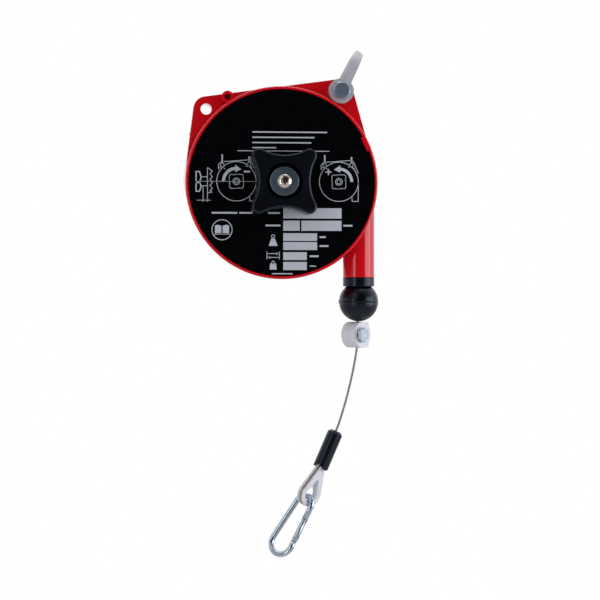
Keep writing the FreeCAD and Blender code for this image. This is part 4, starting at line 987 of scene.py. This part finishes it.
@dataclass
class Housing:
    """The two moulded shells with their label, screws and rope outlet. Sizes are in millimetres and degrees."""

    edge: float = 0.35
    bush_edge: float = 0.4
    half_depth: float = 18.0
    draft: float = 2.2
    draft_inside: float = 50.0
    draft_outside: float = 61.5
    draft_fade: float = 5.0
    draft_from: Point = (178.0, 192.0)
    draft_to: Point = (294.0, 306.0)
    key_inside: Point = (53.0, 57.3)
    key_half_angle: float = 7.0
    key_depth: float = 0.6
    screw: CrossScrew = CrossScrew(2.4, 2.0, 1.5, 9.5, 1.5, 0.75)
    screw_seat: float = 5.0
    screw_places: tuple = ((63.6, 122.2), (63.2, 40.0), (63.2, 150.0))
    outlet_screws: tuple = ((44.1, -46.0), (56.9, -46.0))
    label: Label = field(default_factory=Label)
    axis: Vector = field(default_factory=lambda: middle("arbor"))

    def polar(self, place: Vector) -> tuple[float, float, Vector]:
        """Tell where a point lies about the drum's axis.

        Args:
            place: the point, in metres.

        Returns:
            Its reach in millimetres, its angle from the right in degrees, and the direction from the axis to it.
        """
        across, up = (place.x - self.axis.x) / MM, (place.z - self.axis.z) / MM
        reach = math.hypot(across, up)
        return reach, math.degrees(math.atan2(up, across)) % 360, Vector((across, 0, up)) / reach

    def drafted(self, place: Vector) -> Vector:
        """Taper the free part of the round wall towards the back, as its mould does.

        Args:
            place: a point of a shell, in metres.

        Returns:
            Its new place.
        """
        reach, angle, outwards = self.polar(place)
        if not self.draft_inside < reach < self.draft_outside:
            return place
        share = (place.y / MM + self.half_depth) / (2 * self.half_depth)
        share *= min(max((angle - self.draft_from[0]) / (self.draft_from[1] - self.draft_from[0]), 0), 1)
        share *= min(max((self.draft_to[1] - angle) / (self.draft_to[1] - self.draft_to[0]), 0), 1)
        share *= min((reach - self.draft_inside) / self.draft_fade, 1)
        return place - outwards * self.draft * share * MM

    def trimmed(self, place: Vector) -> Vector:
        """Shorten the key that the label's notch fits over, and taper the wall.

        Args:
            place: a point of the front cover, in metres.

        Returns:
            Its new place.
        """
        reach, angle, outwards = self.polar(place)
        inner, outer = self.key_inside
        if (place.y / MM < self.key_depth - self.half_depth and inner < reach < outer
                and abs(angle - self.label.notch_angle) < self.key_half_angle):
            return place + outwards * (outer - reach) * MM
        return self.drafted(place)

    def screws(self) -> Piece:
        """Put the five screws into the back shell.

        Returns:
            The screws.
        """
        places = [(reach * math.cos(math.radians(angle)), reach * math.sin(math.radians(angle)))
                  for reach, angle in self.screw_places] + list(self.outlet_screws)
        points = [Vector((self.axis.x + x * MM, self.screw_seat * MM, self.axis.z + z * MM)) for x, z in places]
        return ScrewSet(self.screw, TOWARDS_BACK).on("assembly_screws_set", points, ZINC)

    def build(self) -> None:
        """Make every piece of the housing."""
        softened("front_cover", RED_NYLON, "housing", self.edge, bend=self.trimmed)
        softened("back_shell", RED_NYLON, "housing", self.edge, bend=self.drafted)
        softened("outlet_bush", BLACK_NYLON, "housing", self.bush_edge)
        dressed(self.screws(), ZINC, "housing", "assembly_screws")
        dressed(self.label.film(self.axis), LABEL_FILM, "housing", "front_label")
        dressed(self.label.build(self.axis), LABEL_INK, "housing")
@dataclass
class Suspension:
    """The swinging shackle with its bolt and nut. Sizes are in millimetres."""

    edge: float = 1.2
    hex_edge: float = 0.2

    def build(self) -> None:
        """Make every piece of the suspension."""
        softened("shackle", CAST_ALLOY, "shackle", self.edge)
        softened("shackle_bolt", BOLT_ZINC, "shackle", self.hex_edge)
        softened("shackle_nut", ZINC, "shackle", self.hex_edge)


@dataclass
class TensionKnob:
    """The knob on the arbor, with its washer and screw. Sizes are in millimetres."""

    edge: float = 0.5
    washer_edge: float = 0.3
    screw: CrossScrew = CrossScrew(4.5, 2.6, 2.4, 13.5, 2.7, 1.15)

    def build(self) -> None:
        """Make every piece of the knob."""
        softened("knob", BLACK_NYLON, "knob", self.edge)
        softened("retaining_washer", BLUE_ZINC, "arbor", self.washer_edge)
        seat = middle("arbor")
        seat.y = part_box("retaining_washer")[0].y
        dressed(self.screw.object("centre_screw_cross", seat, TOWARDS_FRONT), NICKEL, "arbor", "centre_screw")
        painted("arbor", BLACK_NYLON)
        painted("knob_spring", SPRING_STEEL)


@dataclass
class SpringDrum:
    """What turns inside the housing."""

    finishes: dict = field(default_factory=lambda: {
        "drum": DRUM_NYLON, "drum_cover": DRUM_NYLON, "drum_screws": ZINC, "drum_bush": BRONZE,
        "wound_rope": STAINLESS, "rope_anchor": ZINC, "power_spring": SPRING_STEEL,
    })

    def build(self) -> None:
        """Give every inner node its finish."""
        for node, finish in self.finishes.items():
            painted(node, finish)


@dataclass
class StopBuffer:
    """The rubber ball and the clamp that stop the rope at the outlet. Sizes are in millimetres."""

    radius: float = 12.5
    bore: float = 1.4
    seam: float = 0.12
    seam_half_width: float = 0.16
    nub_radius: float = 0.9
    nub_height: float = 0.3
    nub_root: float = 0.5
    steps: int = 25
    clamp_edge: float = 1.8
    screw_edge: float = 0.2
    nut_edge: float = 0.25
    clamp_axis: float = 0.926
    clamp_turn: float = 45.0
    split_margin: float = 1.0
    nut_turn: float = 30.0
    nut_middle: Vector = field(default_factory=lambda: middle("clamp_nut"))

    def ball(self) -> Piece:
        """Make the ball, with the fine raised seam of its mould and the nub of its gate.

        Returns:
            The ball.
        """
        place = middle("buffer_ball")
        steep = math.acos(self.bore / self.radius)
        lean = math.asin(self.seam_half_width / self.radius)
        upper = arc_points((0, 0), self.radius, math.degrees(lean), math.degrees(steep), self.steps)
        points = [(reach, -height) for reach, height in reversed(upper)] + [(self.radius + self.seam, 0.0)] + upper
        ball = RoundProfile(points, 96, bored=True).object("ball", place)
        rise = [(0, -self.nub_root), (self.nub_radius, -self.nub_root), (self.nub_radius, self.nub_height * 2 / 3),
                (self.nub_radius * 0.8, self.nub_height * 0.75), (self.nub_radius * 0.4, self.nub_height),
                (0, self.nub_height)]
        side = Matrix.Rotation(math.radians(-90), 3, "Y")
        nub = RoundProfile(rise, 24).object("nub", place - Vector((self.radius * MM, 0, 0)), side)
        return merged("buffer_ball_surface", [ball, nub])

    def nut_turned(self, place: Vector) -> Vector:
        """Turn the nut on its screw until a corner points up.

        Args:
            place: a point of the nut, in metres.

        Returns:
            Its new place.
        """
        turn = math.radians(self.clamp_turn)
        outwards = Vector((math.sin(turn), -math.cos(turn), 0))
        return self.nut_middle + Matrix.Rotation(math.radians(self.nut_turn), 3, outwards) @ (place - self.nut_middle)

    def outside(self, place: Vector) -> bool:
        """Tell whether a point of the clamp is clear of the plane where its halves meet.

        Args:
            place: the point, in metres.

        Returns:
            Whether it is.
        """
        turn = math.radians(self.clamp_turn)
        depth = place.y * math.cos(turn) - (place.x - self.clamp_axis * MM) * math.sin(turn)
        return abs(depth) > self.split_margin * MM

    def build(self) -> None:
        """Make every piece of the stop."""
        dressed(self.ball(), RUBBER, "load", "buffer_ball")
        for half in ("clamp_front", "clamp_back"):
            softened(half, WHITE_NYLON, "load", self.clamp_edge, where=self.outside)
        softened("clamp_screw", ZINC, "load", self.screw_edge)
        softened("clamp_nut", ZINC, "load", self.nut_edge, bend=self.nut_turned)


@dataclass
class Sling:
    """The rope with its ferrule, sleeve, thimble and loop. Points and sizes are in millimetres."""

    rope: StrandedRope = field(default_factory=StrandedRope)
    route: tuple = ((0.71, -183.751), (-0.19, -190.051), (-2.09, -199.851), (-4.94, -212.151),
                    (-8.19, -223.651), (-11.24, -233.251), (-13.97, -239.581))
    stem: tuple = ((1.81, -141.05), (1.26, -162.4), (0.71, -183.75))
    sleeve_edge: float = 0.6
    length: float = 57.9
    ferrule_depth: float = 3.3
    leg_start: float = 12.0
    leg_spread: float = 0.95
    leg_bend: float = 22.8
    leg_straight: float = 2.0
    eye_depth: float = 43.3
    loop_radius: float = 7.3
    loop_points: int = 14
    thimble_turn: float = 40.0

    def placed(self) -> Matrix:
        """Give the place and turn of the rope's end fitting.

        Returns:
            The matrix from the fitting's own millimetres to the part's metres.
        """
        (before_x, before_z), (end_x, end_z) = self.route[-2:]
        lean = math.atan2(before_x - end_x, before_z - end_z)
        top = Vector((end_x + self.ferrule_depth * math.sin(lean), 0, end_z + self.ferrule_depth * math.cos(lean)))
        return (Matrix.Translation(top * MM) @ Matrix.Rotation(lean, 4, "Y")
                @ Matrix.Rotation(math.radians(self.thimble_turn), 4, "Z") @ Matrix.Scale(MM, 4))

    def loop(self) -> list[Vector]:
        """Lay out the loop: out of the ferrule, round the thimble's groove and back.

        Returns:
            Its control points, in metres.
        """
        drop = self.eye_depth - self.leg_bend
        touch = math.atan2(drop, self.leg_spread) - math.acos(self.loop_radius / math.hypot(self.leg_spread, drop))
        step = (math.pi + 2 * touch) / self.loop_points
        reach = self.loop_radius / math.cos(step / 2)
        arc = [(reach * math.cos(touch - step * (number + 0.5)),
                reach * math.sin(touch - step * (number + 0.5)) - self.eye_depth)
               for number in range(self.loop_points)]
        leg = [(self.leg_spread, -self.leg_start), (self.leg_spread, -self.leg_bend + self.leg_straight),
               (self.leg_spread, -self.leg_bend),
               (self.loop_radius * math.cos(touch), self.loop_radius * math.sin(touch) - self.eye_depth)]
        back = [(-x, z) for x, z in reversed(leg)]
        frame_of_eye = self.placed()
        return [frame_of_eye @ Vector((x, 0, z)) for x, z in leg + arc + back]

    def inner(self) -> None:
        """Make the rope between the drum and the buffer."""
        low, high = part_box("inner_rope")
        top = Vector(((low.x + high.x) / 2, 0, high.z))
        bottom = Vector((top.x, 0, low.z))
        strands = self.rope.through("inner_rope_strands", [top, (top + bottom) / 2, bottom])
        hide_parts("inner_rope")
        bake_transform(strands)

    def build(self) -> None:
        """Make the rope and every piece on it."""
        softened("ferrule", SOFT_ALLOY, "load")
        softened("ferrule_sleeve", BLACK_NYLON, "load", self.sleeve_edge)
        softened("thimble", WHITE_NYLON, "load")
        dressed(self.rope.through("rope_eye_strands", self.loop()), STAINLESS, "load", "rope_eye")
        self.inner()
        stem = [Vector((x, 0, z)) * MM for x, z in self.stem]
        dressed(self.rope.through("rope_stem_strands", stem), STAINLESS, "load", "rope_stem")
        line = smooth_route("rope_route", [Vector((x, 0, z)) * MM for x, z in self.route])
        rope = self.rope.along("rope_strands", line)
        path = read_route(line)
        bpy.data.objects.remove(line)
        dressed(rope, STAINLESS, "load", "rope")


@dataclass
class SnapHook:
    """The snap hook with its sprung gate."""

    edge: float = 0.15

    def build(self) -> None:
        """Make every piece of the hook."""
        softened("hook_frame", ZINC, "hook")
        softened("gate_rivet", ZINC, "hook", self.edge)
        softened("gate", ZINC, "gate")
        painted("gate_spring", SPRING_STEEL)


# ---- studio
@dataclass(frozen=True)
class Softbox:
    """A soft lamp: where it stands, what it looks at and how bright its face is."""

    name: str
    place: tuple[float, float, float]
    width: float
    height: float
    brightness: float

    def build(self, target: Vector) -> None:
        """Put the lamp up.

        Args:
            target: the point that it faces.
        """
        data = bpy.data.lights.new(self.name, "AREA")
        data.shape = "RECTANGLE"
        data.size, data.size_y = self.width, self.height
        data.energy = self.brightness * math.pi * self.width * self.height
        lamp = as_object(data, self.name)
        lamp.location = target + Vector(self.place)
        lamp.rotation_euler = (target - lamp.location).to_track_quat("-Z", "Y").to_euler()


@dataclass
class Studio:
    """A white room with soft lamps and the camera. Lengths are in metres."""

    target: Vector = field(default_factory=lambda: Vector((-0.03741, -0.018, -0.15328)))
    distance: float = 1.3
    azimuth: float = -5.5
    field_width: float = 0.3757
    floor_height: float = -2.1
    floor_reach: float = 9.0
    diffuse_room: float = 0.55
    dark_room: float = 0.02
    dark_until: float = -0.75
    bright_from: float = 0.15
    lamps: tuple = (
        Softbox("right_softbox", (1.15, -0.5, 0.05), 1.1, 0.9, 2.6),
        Softbox("left_strip", (-0.75, -0.95, 0.0), 0.28, 0.8, 2.6),
        Softbox("upper_left_fill", (-0.5, -0.85, 0.75), 0.5, 0.5, 0.9),
        Softbox("top_softbox", (0.1, 0.1, 1.3), 1.0, 0.6, 1.6),
    )

    def world(self) -> None:
        """Make the room: white behind the object, and dim behind the camera for reflections."""
        world = bpy.data.worlds.new("White studio")
        bpy.context.scene.world = world
        world.use_nodes = True
        tree = world.node_tree
        tree.nodes.clear()
        direction = add_node(tree, "ShaderNodeTexCoord")["Generated"]
        depth = add_node(tree, "ShaderNodeSeparateXYZ", sockets={0: direction})["Y"]
        room = add_node(tree, "ShaderNodeMapRange", sockets={
            "Value": depth, "From Min": self.dark_until, "From Max": self.bright_from,
            "To Min": self.dark_room, "To Max": 1.0,
        })[0]
        ray = add_node(tree, "ShaderNodeLightPath")
        mirror = add_node(tree, "ShaderNodeMath", {"operation": "MAXIMUM"}, {
            0: ray["Is Glossy Ray"], 1: ray["Is Transmission Ray"],
        })[0]
        spread = add_node(tree, "ShaderNodeMix", sockets={"Factor": mirror, 2: self.diffuse_room, 3: room})[0]
        strength = add_node(tree, "ShaderNodeMix", sockets={
            "Factor": ray["Is Camera Ray"], 2: spread, 3: 1.0,
        })[0]
        light = add_node(tree, "ShaderNodeBackground", sockets={"Color": (1, 1, 1, 1), "Strength": strength})[0]
        add_node(tree, "ShaderNodeOutputWorld", sockets={"Surface": light})

    def floor(self) -> None:
        """Lay the pale floor, deeper than the hook hangs with all the rope paid out."""
        mesh = bpy.data.meshes.new("floor")
        corners = [(across * self.floor_reach, deep * self.floor_reach, self.floor_height)
                   for across, deep in ((-1, -1), (1, -1), (1, 1), (-1, 1))]
        mesh.from_pydata(corners, [], [(0, 1, 2, 3)])
        floor = as_object(mesh, "floor")
        material = bpy.data.materials.new("Pale studio floor")
        material.use_nodes = True
        tree = material.node_tree
        tree.nodes.clear()
        ray = add_node(tree, "ShaderNodeLightPath")
        shown = add_node(tree, "ShaderNodeMath", {"operation": "MAXIMUM"}, {
            0: ray["Is Camera Ray"], 1: ray["Is Transmission Ray"],
        })[0]
        matt = add_node(tree, "ShaderNodeBsdfDiffuse", sockets={"Color": linear("F2F2F2")})[0]
        white = add_node(tree, "ShaderNodeEmission", sockets={"Strength": 1.0})[0]
        mixed = add_node(tree, "ShaderNodeMixShader", sockets={0: shown, 1: matt, 2: white})[0]
        add_node(tree, "ShaderNodeOutputMaterial", sockets={"Surface": mixed})
        mesh.materials.append(material)

    def camera(self) -> None:
        """Stand the camera level, a little to the left."""
        data = bpy.data.cameras.new("camera")
        data.lens = data.sensor_width * self.distance / self.field_width
        camera = as_object(data, "camera")
        angle = math.radians(self.azimuth)
        camera.location = self.target + self.distance * Vector((math.sin(angle), -math.cos(angle), 0))
        camera.rotation_euler = (math.radians(90), 0, angle)
        bpy.context.scene.camera = camera

    def build(self) -> None:
        """Make the studio."""
        bpy.context.scene.view_settings.view_transform = "Standard"
        self.world()
        self.floor()
        for lamp in self.lamps:
            lamp.build(self.target)
        self.camera()


def main() -> None:
    """Build the studio and every sub-assembly."""
    logging.basicConfig(level=logging.INFO, format="%(name)s: %(message)s")
    Studio().build()
    for assembly in (Housing(), Suspension(), TensionKnob(), SpringDrum(), StopBuffer(), SnapHook(), Sling()):
        assembly.build()


if __name__ == "__main__":
    main()
